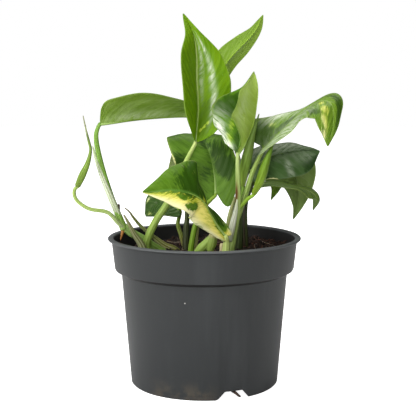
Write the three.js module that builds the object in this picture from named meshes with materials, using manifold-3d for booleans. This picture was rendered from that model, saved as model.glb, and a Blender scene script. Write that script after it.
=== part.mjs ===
// A pothos (devil's ivy) in a 12 cm nursery pot, as separate closed solids, in millimetres.
// +Z is up. The origin is on the ground at the pot's axis, and the front of the plant faces -Y.
import * as THREE from 'three';
import { mergeVertices } from 'three/addons/utils/BufferGeometryUtils.js';
import Module from 'manifold-3d';

// Pot
const rimRadius = 60;
const potHeight = 92;
const lipHeight = 1.4;
const collarTopRadius = 57.7;
const collarBottomRadius = 55.8;
const collarBottom = 72.5;
const shoulderBottom = 69;
const bodyTopRadius = 51.6;
const footRadius = 46;
const wall = 1.3;
const floorHeight = 5.6;
const floorThickness = 1.4;
const edge = 0.5;
const potSides = 48;

// Notches in the foot and holes in the floor, which let water out
const notchCount = 3;
const notchTurn = -67.3;
const notchBottomWidth = 23;
const notchTopWidth = 11.5;
const notchHeight = 5.4;
const notchDepth = 12;
const drainHoleCount = 6;
const drainHoleRadius = 5;
const drainHoleCircle = 33;
const drainHoleSides = 14;

// Soil
const soilLevel = 82;
const soilSides = 40;
const soilRings = 9;
const soilRoughness = 1.1;

// Clearances between pieces that touch on the real plant
const seat = 0.3;
const holeClearance = 0.35;

// Leaves
const bladeThickness = 0.75;
const ribHeight = 0.7;
const bladeRows = 10;
const bladeArch = 26;
const ripples = 2.5;
const halfColumns = [0, 0.13, 0.36, 0.6, 0.82, 1];
const tipWidth = 0.35;
const lobeReach = 0.3;
const stemSides = 7;
const youngLeafColor = '#7fb03c';
const youngLeafRoughness = 0.4;

const wasm = await Module();
wasm.setup();

const plant = new THREE.Group();

// ---------------------------------------------------------------- solids

function toSolid(geometry) {
  const bare = geometry.clone();
  bare.deleteAttribute('normal');
  bare.deleteAttribute('uv');
  const merged = mergeVertices(bare, 1e-4);
  return new wasm.Manifold(new wasm.Mesh({
    numProp: 3,
    vertProperties: new Float32Array(merged.attributes.position.array),
    triVerts: new Uint32Array(merged.index.array),
  }));
}

function toGeometry(solid) {
  const mesh = solid.getMesh();
  const geometry = new THREE.BufferGeometry();
  geometry.setAttribute('position', new THREE.BufferAttribute(mesh.vertProperties, 3));
  geometry.setIndex(new THREE.BufferAttribute(mesh.triVerts, 1));
  geometry.computeVertexNormals();
  return geometry;
}

function addPiece(name, solid, color, roughness, metalness = 0) {
  const material = new THREE.MeshStandardMaterial({ color, roughness, metalness });
  const mesh = new THREE.Mesh(toGeometry(solid), material);
  mesh.name = name;
  plant.add(mesh);
}

function fuse(solids) {
  return solids.reduce((whole, solid) => whole.add(solid));
}

// A smooth value through evenly spaced ones, for t from 0 to 1
function keyed(values, t) {
  const last = values.length - 1;
  const i = Math.min(Math.floor(t * last), last - 1);
  const f = t * last - i;
  const a = values[i];
  const b = values[i + 1];
  const before = i > 0 ? values[i - 1] : 2 * a - b;
  const after = i + 2 <= last ? values[i + 2] : 2 * b - a;
  const slopeA = (b - before) / 2;
  const slopeB = (after - a) / 2;
  return a + f * (slopeA + f * (3 * (b - a) - 2 * slopeA - slopeB + f * (2 * (a - b) + slopeA + slopeB)));
}

function curveThrough(points) {
  return new THREE.CatmullRomCurve3(points.map((p) => new THREE.Vector3(...p)), false, 'catmullrom', 0.5);
}

// A stem or petiole: a closed round rod bent along a smooth path. Radii are spaced evenly from its
// foot to its end, flat squeezes it in depth, and grow makes the tool that cuts its hole.
function limb({ path, radius, flat = 1, steps = 10, sides = stemSides }, grow = 0) {
  const curve = curveThrough(path);
  const rod = new THREE.CylinderGeometry(1, 1, 1, sides, steps);
  const place = rod.attributes.position;
  const depthWays = new THREE.Vector3(0, 1, 0);
  for (let i = 0; i < place.count; i += 1) {
    const t = Math.min(Math.max(place.getY(i) + 0.5, 0), 1);
    const along = curve.getTangentAt(t);
    const across = new THREE.Vector3().crossVectors(depthWays, along).normalize();
    const through = new THREE.Vector3().crossVectors(along, across);
    const size = keyed(radius, t) + grow;
    const centre = curve.getPointAt(t);
    if (t === 0) centre.addScaledVector(along, -grow);
    if (t === 1) centre.addScaledVector(along, grow);
    centre.addScaledVector(across, place.getX(i) * size);
    centre.addScaledVector(through, place.getZ(i) * (keyed(radius, t) * flat + grow));
    place.setXYZ(i, centre.x, centre.y, centre.z);
  }
  return outward(toSolid(rod), rod);
}

// Turns a bent shape right side out when its sections were swept the other way round
function outward(solid, geometry) {
  if (solid.volume() > 0) return solid;
  const turned = geometry.clone();
  const order = turned.index.array;
  for (let i = 0; i < order.length; i += 3) [order[i], order[i + 1]] = [order[i + 1], order[i]];
  return toSolid(turned);
}

// ---------------------------------------------------------------- leaves

// How far out and up a point lies on a half blade that arches between the rib and the margin, with
// its lift measured along the straight line between them
function archedHalf(width, lift, s) {
  const bend = THREE.MathUtils.degToRad(-bladeArch);
  const start = THREE.MathUtils.degToRad(lift) - bend / 2;
  const end = start + bend * s;
  const out = width * (Math.sin(end) - Math.sin(start)) / bend;
  const up = width * (Math.cos(start) - Math.cos(end)) / bend;
  return [out, up];
}

// How far a lobe reaches back from the rib to the margin, from 0 beside the rib to its fullest
function lobeOutline(s) {
  const besideRib = 0.1;
  return Math.sin(0.8 * Math.PI * Math.max(0, s - besideRib) / (1 - besideRib));
}

// A heart-shaped blade. The rib runs from the petiole to the tip, and face gives the way that the
// upper side looks along it. Each half has its widths, and its lifts from the flat in degrees,
// evenly spaced from base to tip. A lobe reaches back past the petiole, and a lobe below zero makes
// a wedge-shaped base. Sweep slides the margin back towards the base, in millimetres, and ripples
// wave it.
function blade({ rib, face, right, left, lobe = 4, wave = 0.8, steps = bladeRows }) {
  const curve = curveThrough(rib);
  const sides = [...halfColumns.slice(1).reverse().map((s) => [-1, s]), ...halfColumns.map((s) => [1, s])];
  const columns = sides.length;
  const rows = [];
  for (let j = 0; j <= steps; j += 1) {
    const t = j / steps;
    const along = curve.getTangent(t);
    const up = new THREE.Vector3(
      keyed(face.map((way) => way[0]), t),
      keyed(face.map((way) => way[1]), t),
      keyed(face.map((way) => way[2]), t),
    );
    up.addScaledVector(along, -up.dot(along)).normalize();
    const out = new THREE.Vector3().crossVectors(along, up);
    const fade = Math.max(0, 1 - t / lobeReach) ** 2;
    rows.push(sides.map(([side, s]) => {
      const half = side > 0 ? right : left;
      const width = Math.max(keyed(half.width, t), tipWidth);
      const [reach, rise] = archedHalf(width, keyed(half.lift, t), s);
      const ripple = wave * s * s * Math.sin(Math.PI * t) * Math.sin(Math.PI * 2 * ripples * t + side);
      const point = curve.getPoint(t);
      point.addScaledVector(out, side * reach);
      point.addScaledVector(up, rise + ripple);
      const reachBack = half.lobe ?? lobe;
      const shape = reachBack > 0 ? lobeOutline(s) : s ** 1.5;
      point.addScaledVector(along, -fade * reachBack * shape - keyed(half.sweep ?? [0, 0], t) * s * s);
      return point;
    }));
  }
  return sheet(rows, columns);
}

// Gives a grid of points its thickness, with both faces split alike and a raised rib below
function sheet(rows, columns) {
  const last = rows.length - 1;
  const top = [];
  const bottom = [];
  rows.forEach((row, j) => row.forEach((point, i) => {
    const nextRow = rows[Math.min(j + 1, last)];
    const rowBefore = rows[Math.max(j - 1, 0)];
    const lengthways = new THREE.Vector3().subVectors(nextRow[i], rowBefore[i]);
    const sideways = new THREE.Vector3();
    sideways.subVectors(row[Math.min(i + 1, columns - 1)], row[Math.max(i - 1, 0)]);
    const normal = new THREE.Vector3().crossVectors(sideways, lengthways).normalize();
    const onRib = i === (columns - 1) / 2;
    const rib = onRib ? ribHeight * (1 - j / rows.length) : 0;
    top.push(point.clone().addScaledVector(normal, bladeThickness / 2));
    bottom.push(point.clone().addScaledVector(normal, -bladeThickness / 2 - rib));
  }));
  const size = rows.length * columns;
  const index = [];
  const quad = (a, b, c, d) => index.push(a, b, c, a, c, d);
  for (let j = 0; j < last; j += 1) {
    for (let i = 0; i < columns - 1; i += 1) {
      const a = j * columns + i;
      const b = a + 1;
      const c = b + columns;
      const d = a + columns;
      quad(a, b, c, d);
      index.push(size + a, size + c, size + b, size + a, size + d, size + c);
    }
  }
  const rim = [];
  for (let i = 0; i < columns; i += 1) rim.push(i);
  for (let j = 1; j <= last; j += 1) rim.push(j * columns + columns - 1);
  for (let i = columns - 2; i >= 0; i -= 1) rim.push(last * columns + i);
  for (let j = last - 1; j > 0; j -= 1) rim.push(j * columns);
  rim.forEach((a, k) => {
    const b = rim[(k + 1) % rim.length];
    quad(a, size + a, size + b, b);
  });
  const geometry = new THREE.BufferGeometry();
  const places = [...top, ...bottom].flatMap((point) => point.toArray());
  geometry.setAttribute('position', new THREE.Float32BufferAttribute(places, 3));
  geometry.setIndex(index);
  return outward(toSolid(geometry), geometry);
}

// ---------------------------------------------------------------- pot

function potWall() {
  const floorTop = floorHeight + floorThickness;
  const lipUnder = potHeight - lipHeight;
  const outline = [
    [0, floorHeight],
    [footRadius - wall - edge, floorHeight],
    [footRadius - wall - edge, 0],
    [footRadius - 2 * edge, 0],
    [footRadius, 2 * edge],
    [bodyTopRadius, shoulderBottom],
    [bodyTopRadius + edge, shoulderBottom + 2 * edge],
    [collarBottomRadius - edge, collarBottom - edge],
    [collarBottomRadius, collarBottom + edge],
    [collarTopRadius, lipUnder - edge],
    [rimRadius - edge, lipUnder],
    [rimRadius, lipUnder + edge],
    [rimRadius, potHeight - edge],
    [rimRadius - edge, potHeight],
    [collarTopRadius - wall + edge, potHeight],
    [collarTopRadius - wall, potHeight - edge],
    [collarBottomRadius - wall, collarBottom + 2 * edge],
    [bodyTopRadius - wall + edge, shoulderBottom + 2 * edge],
    [bodyTopRadius - wall, shoulderBottom - edge],
    [footRadius - wall + edge, floorTop + 2 * edge],
    [footRadius - wall - 2 * edge, floorTop],
    [0, floorTop],
  ];
  const profile = outline.map(([r, z]) => new THREE.Vector2(r, z));
  const lathe = new THREE.LatheGeometry(profile, potSides);
  lathe.rotateX(Math.PI / 2);
  return outward(toSolid(lathe), lathe);
}

// A notch is a trapezoid cut through the foot from below
function notch(turn) {
  const below = -1;
  const outline = new THREE.Shape([
    new THREE.Vector2(-notchBottomWidth / 2, below),
    new THREE.Vector2(notchBottomWidth / 2, below),
    new THREE.Vector2(notchTopWidth / 2, notchHeight),
    new THREE.Vector2(-notchTopWidth / 2, notchHeight),
  ]);
  const tool = new THREE.ExtrudeGeometry(outline, { depth: notchDepth, bevelEnabled: false });
  tool.rotateX(Math.PI / 2);
  tool.rotateZ(Math.PI / 2);
  tool.translate(footRadius - notchDepth * 2 / 3, 0, 0);
  tool.rotateZ(THREE.MathUtils.degToRad(turn));
  return toSolid(tool);
}

function drainHole(turn) {
  const through = floorThickness * 4;
  const tool = new THREE.CylinderGeometry(drainHoleRadius, drainHoleRadius, through, drainHoleSides);
  tool.rotateX(Math.PI / 2);
  tool.translate(drainHoleCircle, 0, floorHeight + floorThickness / 2);
  tool.rotateZ(THREE.MathUtils.degToRad(turn));
  return toSolid(tool);
}

function makePot() {
  let pot = potWall();
  for (let i = 0; i < notchCount; i += 1) {
    pot = pot.subtract(notch(notchTurn + i * 360 / notchCount));
  }
  for (let i = 0; i < drainHoleCount; i += 1) {
    pot = pot.subtract(drainHole(notchTurn + i * 360 / drainHoleCount));
  }
  addPiece('nursery_pot', pot, '#4b4e4f', 0.5);
}

// ---------------------------------------------------------------- soil

// Height of the soil above or below its level: higher at the back right, with small lumps
function soilRelief(x, y) {
  const slope = 0.035 * x + 0.02 * y;
  const lumps = Math.sin(0.31 * x + 1.3) * Math.cos(0.27 * y - 0.4)
    + 0.6 * Math.sin(0.62 * x - 0.51 * y) + 0.5 * Math.cos(0.55 * x + 0.73 * y + 2);
  return slope + soilRoughness * lumps;
}

// The soil fills the pot's inside, a seat's width clear of the wall and the floor
function soilBody() {
  const bottom = floorHeight + floorThickness + seat;
  const clear = wall + seat + 0.3;
  const topRadius = collarBottomRadius - clear;
  const outline = [[0, soilLevel]];
  for (let i = 1; i <= soilRings; i += 1) outline.push([i * topRadius / soilRings, soilLevel]);
  outline.push(
    [topRadius, collarBottom + 4 * edge],
    [bodyTopRadius - clear, shoulderBottom + 4 * edge],
    [footRadius - clear, bottom + 3 * edge],
    [footRadius - clear - 2 * edge, bottom],
    [0, bottom],
  );
  const profile = outline.map(([r, z]) => new THREE.Vector2(r, z));
  const lathe = new THREE.LatheGeometry(profile, soilSides);
  lathe.rotateX(Math.PI / 2);
  const place = lathe.attributes.position;
  for (let i = 0; i < place.count; i += 1) {
    if (place.getZ(i) > soilLevel - 0.01) {
      place.setZ(i, soilLevel + soilRelief(place.getX(i), place.getY(i)));
    }
  }
  return outward(toSolid(lathe), lathe);
}

// The root that has found its way out through a drain hole and the notch at the front
const drainRoot = {
  path: [[12.6, -30.6, 6.3], [14.8, -33.6, 4.6], [17.8, -39.4, 4.1], [19.8, -44.4, 3.8],
         [21.2, -48, 3.7]],
  radius: [1, 1.1, 1.1, 0.8],
  sides: 6,
};

// ---------------------------------------------------------------- stems

const leftStem = {
  stem: {
    path: [[-19, 4, 64], [-24, 2, 79.6], [-29, 1, 83.8], [-34, -2, 87.6], [-39, -5, 91.6],
           [-44.6, -9, 95.4], [-49, -12, 99.6]],
    radius: [2.2, 2.3, 2.6, 2.5],
    steps: 10,
  },
  petiole: {
    path: [[-49.5, -12.5, 99], [-55.6, -13, 115], [-61, -13, 132], [-64.6, -13, 147],
           [-65.4, -13, 156], [-63.7, -12.2, 161.6]],
    radius: [2.6, 2.1, 1.9, 1.85, 1.7, 1.2],
  },
  wing: {
    path: [[-50.6, -13.5, 103], [-56.4, -14.5, 117], [-61.6, -14.5, 130], [-65.4, -14, 141],
           [-67.4, -13.5, 149]],
    radius: [1.5, 1.9, 1.7, 1.2, 0.4],
    flat: 0.6, steps: 7,
  },
  youngPetiole: {
    path: [[-49.4, -13.6, 99.6], [-52.8, -16, 103.2], [-56.5, -18, 107.9], [-60.2, -19, 110.1],
           [-69.5, -21, 112], [-76.4, -21, 116.8], [-78.4, -21, 121.4], [-77.4, -21, 124.6]],
    radius: [1.4, 1.2, 1.1],
    steps: 12,
  },
  scar: {
    path: [[-52.8, -12.6, 109.8], [-52.2, -12.8, 113.2]],
    radius: [1.4, 0.9],
    steps: 1, sides: 5,
  },
  rootTip: {
    path: [[-49.6, -13, 98.4], [-50.2, -13.5, 95.4], [-51.2, -14, 92]],
    radius: [1.2, 0.8, 0.4],
    steps: 3, sides: 5,
  },
};

const leftSheath = {
  sheath: {
    path: [[-37, -16.4, 64], [-36.4, -15.6, 79], [-38, -15, 88], [-42.6, -16, 96],
           [-46.6, -17.4, 104], [-48.6, -18, 107.6]],
    radius: [2.2, 2.7, 2.4, 1.5, 0.5],
    flat: 0.6, steps: 8,
  },
};

const leftOldStem = {
  stalk: {
    path: [[-9, 11, 64], [-17, 10, 80], [-25, 9, 84.6], [-31, 7, 89.6], [-36, 5, 94.2],
           [-40.4, 3, 98.6], [-44, 1, 103.4], [-46.6, -1, 107.6], [-49.2, -2, 110]],
    radius: [1.8, 2.7, 2.4, 1.8, 1.2, 0.9, 0.35],
    flat: 0.6,
  },
};

const tallStem = {
  petiole: {
    path: [[-31, -11, 64], [-35, -9, 84], [-35, -9, 91], [-29.6, -9.5, 103], [-22.8, -9.5, 113.4],
           [-16, -8.5, 128], [-11, -7.5, 139.6], [-5.8, -6.5, 149.6]],
    radius: [2.6, 2.5, 2.4, 2.15, 1.7, 1.1],
    steps: 14,
  },
};

const speckledStem = {
  petiole: {
    path: [[-9, 15, 64], [-12, 17, 79], [-15, 18, 90], [-17, 20, 97], [-15.4, 22, 104.6]],
    radius: [1.6, 1.6, 1.4, 1.1],
    steps: 8,
  },
};

const backLeftStem = {
  petiole: {
    path: [[-8, 6, 64], [-11.4, 7.6, 79], [-11.6, 10, 92], [-11, 13, 103], [-12, 14, 113],
           [-13.8, 14.4, 120.8]],
    radius: [2, 2.2, 2, 1.3, 1],
    steps: 8,
  },
};

const centreStem = {
  petiole: {
    path: [[-8, -5, 64], [-8.4, -5, 82], [-7, -5, 93], [-5, -4.4, 101], [-0.6, -3.4, 110],
           [4, -2, 115], [6.6, -0.6, 117.2]],
    radius: [1.9, 1.9, 1.7, 1.4, 1],
    steps: 10,
  },
  sheath: {
    path: [[-5.8, -3.6, 64], [-5.8, -3.6, 82], [-4.6, -3.4, 93], [-3, -3, 103]],
    radius: [1.2, 1.2, 1.1, 0.4],
    flat: 0.6, steps: 5,
  },
};

const cutStem = {
  stem: {
    path: [[-10, -14, 64], [-5, -16, 82], [0, -17.4, 89], [4.6, -18.6, 93.4]],
    radius: [2, 2.2, 2.6, 2.7],
    steps: 6,
  },
  stub: {
    path: [[3.6, -18.6, 86.6], [5.4, -19, 95.4]],
    radius: [2.4, 3.2, 2.6],
    steps: 3,
  },
  root: {
    path: [[4, -18.8, 87.4], [4.6, -19.6, 84], [7, -20.6, 80], [8, -21, 74]],
    radius: [1.4, 1.2, 0.9, 0.7],
    steps: 5, sides: 6,
  },
};

const backTallStem = {
  petiole: {
    path: [[16, 24, 64], [17, 24, 80], [20, 23, 105], [22.5, 21, 125], [20.6, 18.4, 143],
           [11, 14.6, 158], [2.6, 12.4, 166]],
    radius: [1.7, 1.6, 1.3, 1.1],
    steps: 11,
  },
};

const frontStem = {
  petiole: {
    path: [[12, -26, 64], [13, -28, 80], [13.2, -28.8, 88], [13.4, -29.4, 93.2]],
    radius: [2.6, 2.7, 2.6, 1.7],
    steps: 5,
  },
  sheath: {
    path: [[9.4, -23.6, 64], [10.2, -25.2, 82], [10.6, -26, 91]],
    radius: [1.4, 1.4, 1.2],
    flat: 0.7, steps: 4,
  },
};

const rightStem = {
  petiole: {
    path: [[14, -13, 64], [16, -14, 82], [18, -14, 94], [20, -14.4, 107], [20.6, -15, 117],
           [20.4, -16, 129], [20.2, -17, 138], [20.2, -17.8, 144.2]],
    radius: [2.4, 2.3, 2.2, 2, 1.6, 1.2],
    steps: 13,
  },
  longPetiole: {
    path: [[19, -13.6, 101], [23, -12.6, 113], [26, -13, 122], [29, -13, 132], [33, -13.6, 141.6],
           [35.4, -14, 146]],
    radius: [1.6, 1.9, 1.8, 1.5, 1.1],
    steps: 9,
  },
  youngPetiole: {
    path: [[21, -14.4, 111], [26, -16.6, 117], [29.4, -17.8, 119.6]],
    radius: [1.2, 1.1],
    steps: 4, sides: 6,
  },
  backYoungPetiole: {
    path: [[19.6, -12, 106], [22.6, -9, 117], [23.8, -8.2, 123.4]],
    radius: [1.3, 1.1],
    steps: 4, sides: 6,
  },
  whiteSheath: {
    path: [[15.6, -16, 92], [17, -17.4, 101], [19, -17.4, 110], [20, -16.6, 117]],
    radius: [1.6, 1.9, 1.4, 0.5],
    flat: 0.6, steps: 5, sides: 6,
  },
  greenSheath: {
    path: [[15.4, -12.6, 92], [15, -11.8, 101], [16.4, -11.6, 110], [18.6, -12, 118]],
    radius: [1.4, 1.7, 1.3, 0.4],
    flat: 0.6, steps: 5, sides: 6,
  },
};

const darkStem = {
  stem: {
    path: [[21, 1, 64], [21.4, 0.4, 81], [22, 0, 93], [22.4, -0.4, 105], [23.2, 1.4, 118],
           [25.4, 4.4, 127], [27.2, 6, 131.4]],
    radius: [2.4, 2.4, 2.2, 1.7, 1.2, 1.1],
    steps: 10,
  },
};

const backRightStem = {
  stem: {
    path: [[26.4, 10, 64], [26.2, 12.6, 79], [25.6, 13.4, 97], [26.4, 15.6, 113],
           [32.4, 20, 126], [41, 26.4, 135], [49.4, 30, 138.4]],
    radius: [2, 2, 1.8, 1.6, 1.2, 1.1],
    steps: 11,
  },
  levelPetiole: {
    path: [[25.8, 14, 105], [26.8, 15, 113], [29.4, 17.4, 118.6], [33.2, 19, 120.4]],
    radius: [1.4, 1.2, 1],
    steps: 5, sides: 6,
  },
  smallPetiole: {
    path: [[32.4, 20, 126], [36, 27, 130], [40.9, 39.2, 132.3]],
    radius: [1.1, 1, 0.9],
    steps: 5, sides: 6,
  },
};

const brownStem = {
  stalk: {
    path: [[23.6, 6.6, 64], [24.4, 7.4, 80], [24.2, 8.2, 98], [24.6, 9.2, 109]],
    radius: [1.6, 1.6, 1.3, 1],
    steps: 6, sides: 6,
  },
};

// ---------------------------------------------------------------- blades

const blades = {
  leaf_tall: {
    color: '#4f8a22',
    roughness: 0.3,
    rib: [[-5.4, -6, 151], [-4, -8, 171], [-4.8, -9, 189], [-4.9, -9, 204], [-6.8, -7.6, 217],
          [-12.8, -4, 228.6]],
    face: [[0, -1, 0.1], [0, -1, 0]],
    right: {
      width: [12, 19, 21, 15, 4.2, 0.3],
      lift: [20, 5, -4, -4, 0, 0],
      lobe: -7,
    },
    left: {
      width: [6, 15, 16, 15.5, 7, 0.3],
      lift: [65, 60, 58, 54, 48, 30],
      lobe: -6,
    },
  },
  leaf_tall_back: {
    color: '#76a03f',
    roughness: 0.5,
    rib: [[1, 12, 168.2], [7.4, 16, 187.4], [14.8, 19, 200.4], [23.6, 20, 210], [31.6, 19, 218.8],
          [36.6, 17, 228.8]],
    face: [[0, 1, 0.1], [0, 1, 0]],
    right: {
      width: [6, 13, 15.6, 12, 6, 0.3],
      lift: [57, 57, 57, 55, 55, 40],
    },
    left: {
      width: [6, 11, 12, 11, 6.6, 0.3],
      lift: [57, 57, 57, 55, 55, 40],
    },
  },
  leaf_left_arched: {
    color: '#6f9a3c',
    roughness: 0.5,
    rib: [[-63, -12, 162.6], [-56, -11, 163.4], [-42, -7, 165], [-24, 0, 166], [-10, 4, 166],
          [2, 6, 164.6]],
    face: [[0, 0, 1], [0, 0, 1]],
    right: {
      width: [9.5, 15.6, 16.4, 15, 9.6, 0.3],
      lift: [72, 72, 72, 68, 60, 40],
      lobe: -1.6,
    },
    left: {
      width: [9, 15, 15, 13, 8, 0.3],
      lift: [50, 50, 45, 40, 35, 30],
      lobe: -1.6,
    },
  },
  leaf_folded: {
    color: '#6ea23a',
    roughness: 0.3,
    rib: [[20.2, -18, 145], [25, -15.6, 152], [29, -14, 162], [31, -13.6, 173], [32, -13.4, 184],
          [30, -13, 194]],
    face: [[-1, 0, 0.2], [-1, 0, 0]],
    right: {
      width: [9, 19, 23, 22, 14, 0.3],
      lift: [5, 20, 35, 35, 45, 50],
      lobe: -3,
    },
    left: {
      width: [11, 21, 26, 24.4, 12, 0.3],
      lift: [70, 86, 94, 97, 88, 80],
      lobe: -2,
    },
  },
  leaf_right_drooping: {
    color: '#6f8f33',
    roughness: 0.4,
    rib: [[36, -14, 147.4], [44.4, -16, 155.8], [53, -19, 165], [61.6, -23, 172.8],
          [69.4, -28, 177], [74.6, -34, 174.4], [75, -38, 163], [71.7, -40, 151]],
    face: [[-0.7, -0.05, 0.7], [-0.6, 0, 0.8], [-0.3, -0.15, 0.9], [0.2, -0.95, 0.3],
           [0.25, -1, 0.1]],
    right: {
      width: [8, 15, 15, 15.4, 10, 0.3],
      lift: [0, -8, -16, -10, 0, 0],
      sweep: [0, 0, 0, 2, 4, 3.7, 1, -5.5, -6.5, -3.5, 0],
    },
    left: {
      width: [24, 14.5, 8.6, 10.8, 4.8, 0.3],
      lift: [60, 40, 4, -10, -10, 0],
      sweep: [-4, 0, 0, 0, 0, 0],
    },
    steps: 14,
  },
  leaf_right_dark: {
    color: '#33552a',
    roughness: 0.25,
    rib: [[28, 6, 132], [38, 4, 140], [51, 6, 144], [63, 10, 145], [72.6, 14, 144]],
    face: [[0, -0.8, 0.6], [0, -0.8, 0.6]],
    right: {
      width: [8, 14, 18, 18, 13, 0.3],
      lift: [0, -5, -5, 0, 0, 0],
    },
    left: {
      width: [10, 10, 7.5, 5, 2.5, 0.3],
      lift: [50, 50, 50, 50, 50, 40],
    },
    lobe: 1.5,
  },
  leaf_right_level: {
    color: '#4d6f2c',
    roughness: 0.45,
    rib: [[35, 20, 122], [45, 20, 123.4], [55, 20, 122], [63.5, 20, 119.4], [68.6, 19.5, 117],
          [71.4, 19, 113], [69.2, 18, 106]],
    face: [[0, 0, 1], [0, 0, 1], [0.3, -0.3, 0.9], [1, -0.6, 0.2]],
    right: {
      width: [8, 12, 13, 11, 6, 0.3],
      lift: [-6, -6, -5, 0, 0, 0],
    },
    left: {
      width: [8, 12, 13, 11, 5, 0.3],
      lift: [0, 0, -6, -10, 0, 0],
    },
  },
  leaf_right_hanging: {
    color: '#55713a',
    roughness: 0.5,
    rib: [[51, 30, 138], [57, 35, 131], [60.6, 37, 120], [60.6, 36, 108], [58, 34, 98]],
    face: [[0.3, 0.6, 0.7], [0, 1, 0.2], [0, 1, 0]],
    right: {
      width: [8, 15, 14, 9, 4, 0.3],
      lift: [20, 15, 10, 10, 10, 0],
    },
    left: {
      width: [8, 14, 12, 7, 2.6, 0.3],
      lift: [20, 15, 10, 10, 10, 0],
    },
  },
  leaf_right_small: {
    color: '#2f4a20',
    roughness: 0.5,
    rib: [[42, 42, 133], [47, 46, 125], [47, 46, 117], [44, 44, 109.6]],
    face: [[0, -0.8, 0.5], [0, -1, 0]],
    right: {
      width: [6, 9, 8, 4, 2, 0.3],
      lift: [0, 0, 0],
    },
    left: {
      width: [6, 9, 8, 4, 2, 0.3],
      lift: [0, 0, 0],
    },
    wave: 0.4,
  },
  leaf_front_variegated: {
    color: '#4d7a24',
    roughness: 0.35,
    rib: [[12.9, -30.9, 96.6], [8, -33, 103], [3.3, -36, 111.4], [-0.4, -39, 118.4],
          [-5.7, -43, 122.7], [-12.6, -47, 125.3], [-20.8, -50, 126.4], [-28.3, -52.5, 126],
          [-35.1, -55, 125.7]],
    face: [[0.4, -0.8, 0.3], [0.1, -0.8, 0.5], [0, -0.8, 0.6]],
    right: {
      width: [5, 8.4, 13, 19, 22, 22, 17, 9.8, 0.3],
      lift: [0, -30, -66, -46, -4, 0, 0, 0, 0],
      sweep: [0, -2, -5, -6, -1, 5, 7, 5.5, 0],
    },
    left: {
      width: [3.4, 6.6, 11.6, 13, 13, 11.4, 8.8, 4.8, 0.3],
      lift: [-10, -10, -10, -10, -10, -10, -5, 0, 0],
    },
    lobe: 2,
    steps: 12,
  },
  leaf_back: {
    color: '#3f6d24',
    roughness: 0.5,
    rib: [[7, 1, 118], [6.4, 2, 130], [4, 4, 141], [0, 8, 150], [-3, 16, 154], [-6, 24, 153],
          [-8, 31, 150]],
    face: [[0, -1, 0], [0, -0.8, 0.5], [0, -0.1, 1], [0, 0.3, 1]],
    right: {
      width: [11, 15, 15, 14, 13, 8, 0.3],
      lift: [0, 0, 5, 5, 0, 0, 0],
    },
    left: {
      width: [13, 21, 23, 24, 21, 11, 0.3],
      lift: [0, 0, 5, 5, 0, 0, 0],
    },
    lobe: 8,
  },
  leaf_back_left_small: {
    color: '#2a4418',
    roughness: 0.5,
    rib: [[-14.2, 15, 122], [-16.4, 17, 130], [-18.6, 20, 136], [-20.4, 23, 141.6]],
    face: [[-0.3, -0.8, 0.5], [-0.3, -0.8, 0.5]],
    right: {
      width: [5, 7, 5.6, 4, 2, 0.3],
      lift: [0, 0, 0],
    },
    left: {
      width: [5, 7, 6.6, 5, 3, 0.3],
      lift: [0, 0, 0],
    },
    wave: 0.4,
  },
  leaf_low_speckled: {
    color: '#2c4a1c',
    roughness: 0.4,
    rib: [[-16.6, 20.6, 106.4], [-23, 24, 109], [-31, 29, 108.2], [-38.8, 33, 101.4]],
    face: [[0, -0.8, 0.6], [0, -0.8, 0.6]],
    right: {
      width: [8, 12, 13.4, 12.4, 8.6, 0.3],
      lift: [0, 0, 0],
    },
    left: {
      width: [6, 9, 9.6, 9, 7.2, 2],
      lift: [0, 0, 0],
    },
    wave: 0.4,
  },
};

// Rolled young leaves: spindles that taper to a point
const youngLeaves = {
  young_leaf_left: {
    path: [[-76.2, -21, 125.3], [-72.6, -21, 133], [-69.6, -21, 139.7], [-67.9, -21, 147.2],
           [-68.8, -21, 152.2], [-70.3, -21, 158.6], [-72.2, -21, 168]],
    radius: [2, 2.5, 1.8, 1.1, 0.9, 0.6, 0.25],
    steps: 12,
  },
  young_leaf_right: {
    path: [[29.8, -17.9, 120.2], [34, -19, 129], [37, -20, 139], [41.4, -21, 152]],
    radius: [1.7, 3.2, 2.4, 0.3],
    steps: 8,
  },
  young_leaf_back: {
    path: [[23.4, -8, 124.2], [24.6, -9.6, 134], [26.8, -14.6, 146], [29.6, -18.6, 158],
           [32.8, -20, 169]],
    radius: [1.6, 3.6, 3.3, 1.7, 0.3],
    steps: 8,
  },
};

// ---------------------------------------------------------------- assembly

const stems = {
  stem_left: [leftStem, '#86a352', 0.45],
  sheath_left: [leftSheath, '#a3a58c', 0.6],
  stem_left_old: [leftOldStem, '#7c7a45', 0.6],
  stem_tall: [tallStem, '#7fa644', 0.4],
  stem_speckled: [speckledStem, '#76833c', 0.5],
  stem_back_left: [backLeftStem, '#3c4a26', 0.5],
  stem_centre: [centreStem, '#7fae3a', 0.45],
  stem_cut: [cutStem, '#8fb35a', 0.45],
  stem_tall_back: [backTallStem, '#7fa644', 0.45],
  stem_front: [frontStem, '#a9bd7c', 0.45],
  stem_right: [rightStem, '#93b25c', 0.4],
  stem_dark: [darkStem, '#3f5a26', 0.45],
  stem_back_right: [backRightStem, '#3c5528', 0.45],
  stem_brown: [brownStem, '#3a2a20', 0.7],
};

makePot();

let soil = soilBody();
for (const [limbs] of Object.values(stems)) {
  for (const part of Object.values(limbs)) {
    soil = soil.subtract(limb(part, holeClearance));
  }
}
addPiece('potting_soil', soil, '#231a15', 0.95);
addPiece('drain_root', limb(drainRoot), '#6d4f38', 0.8);

for (const [name, [limbs, color, roughness]] of Object.entries(stems)) {
  const rods = Object.values(limbs).map((part) => limb(part));
  addPiece(name, fuse(rods), color, roughness);
}
for (const [name, shape] of Object.entries(blades)) {
  addPiece(name, blade(shape), shape.color, shape.roughness);
}
for (const [name, shape] of Object.entries(youngLeaves)) {
  addPiece(name, limb(shape), youngLeafColor, youngLeafRoughness);
}

export default plant;
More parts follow.
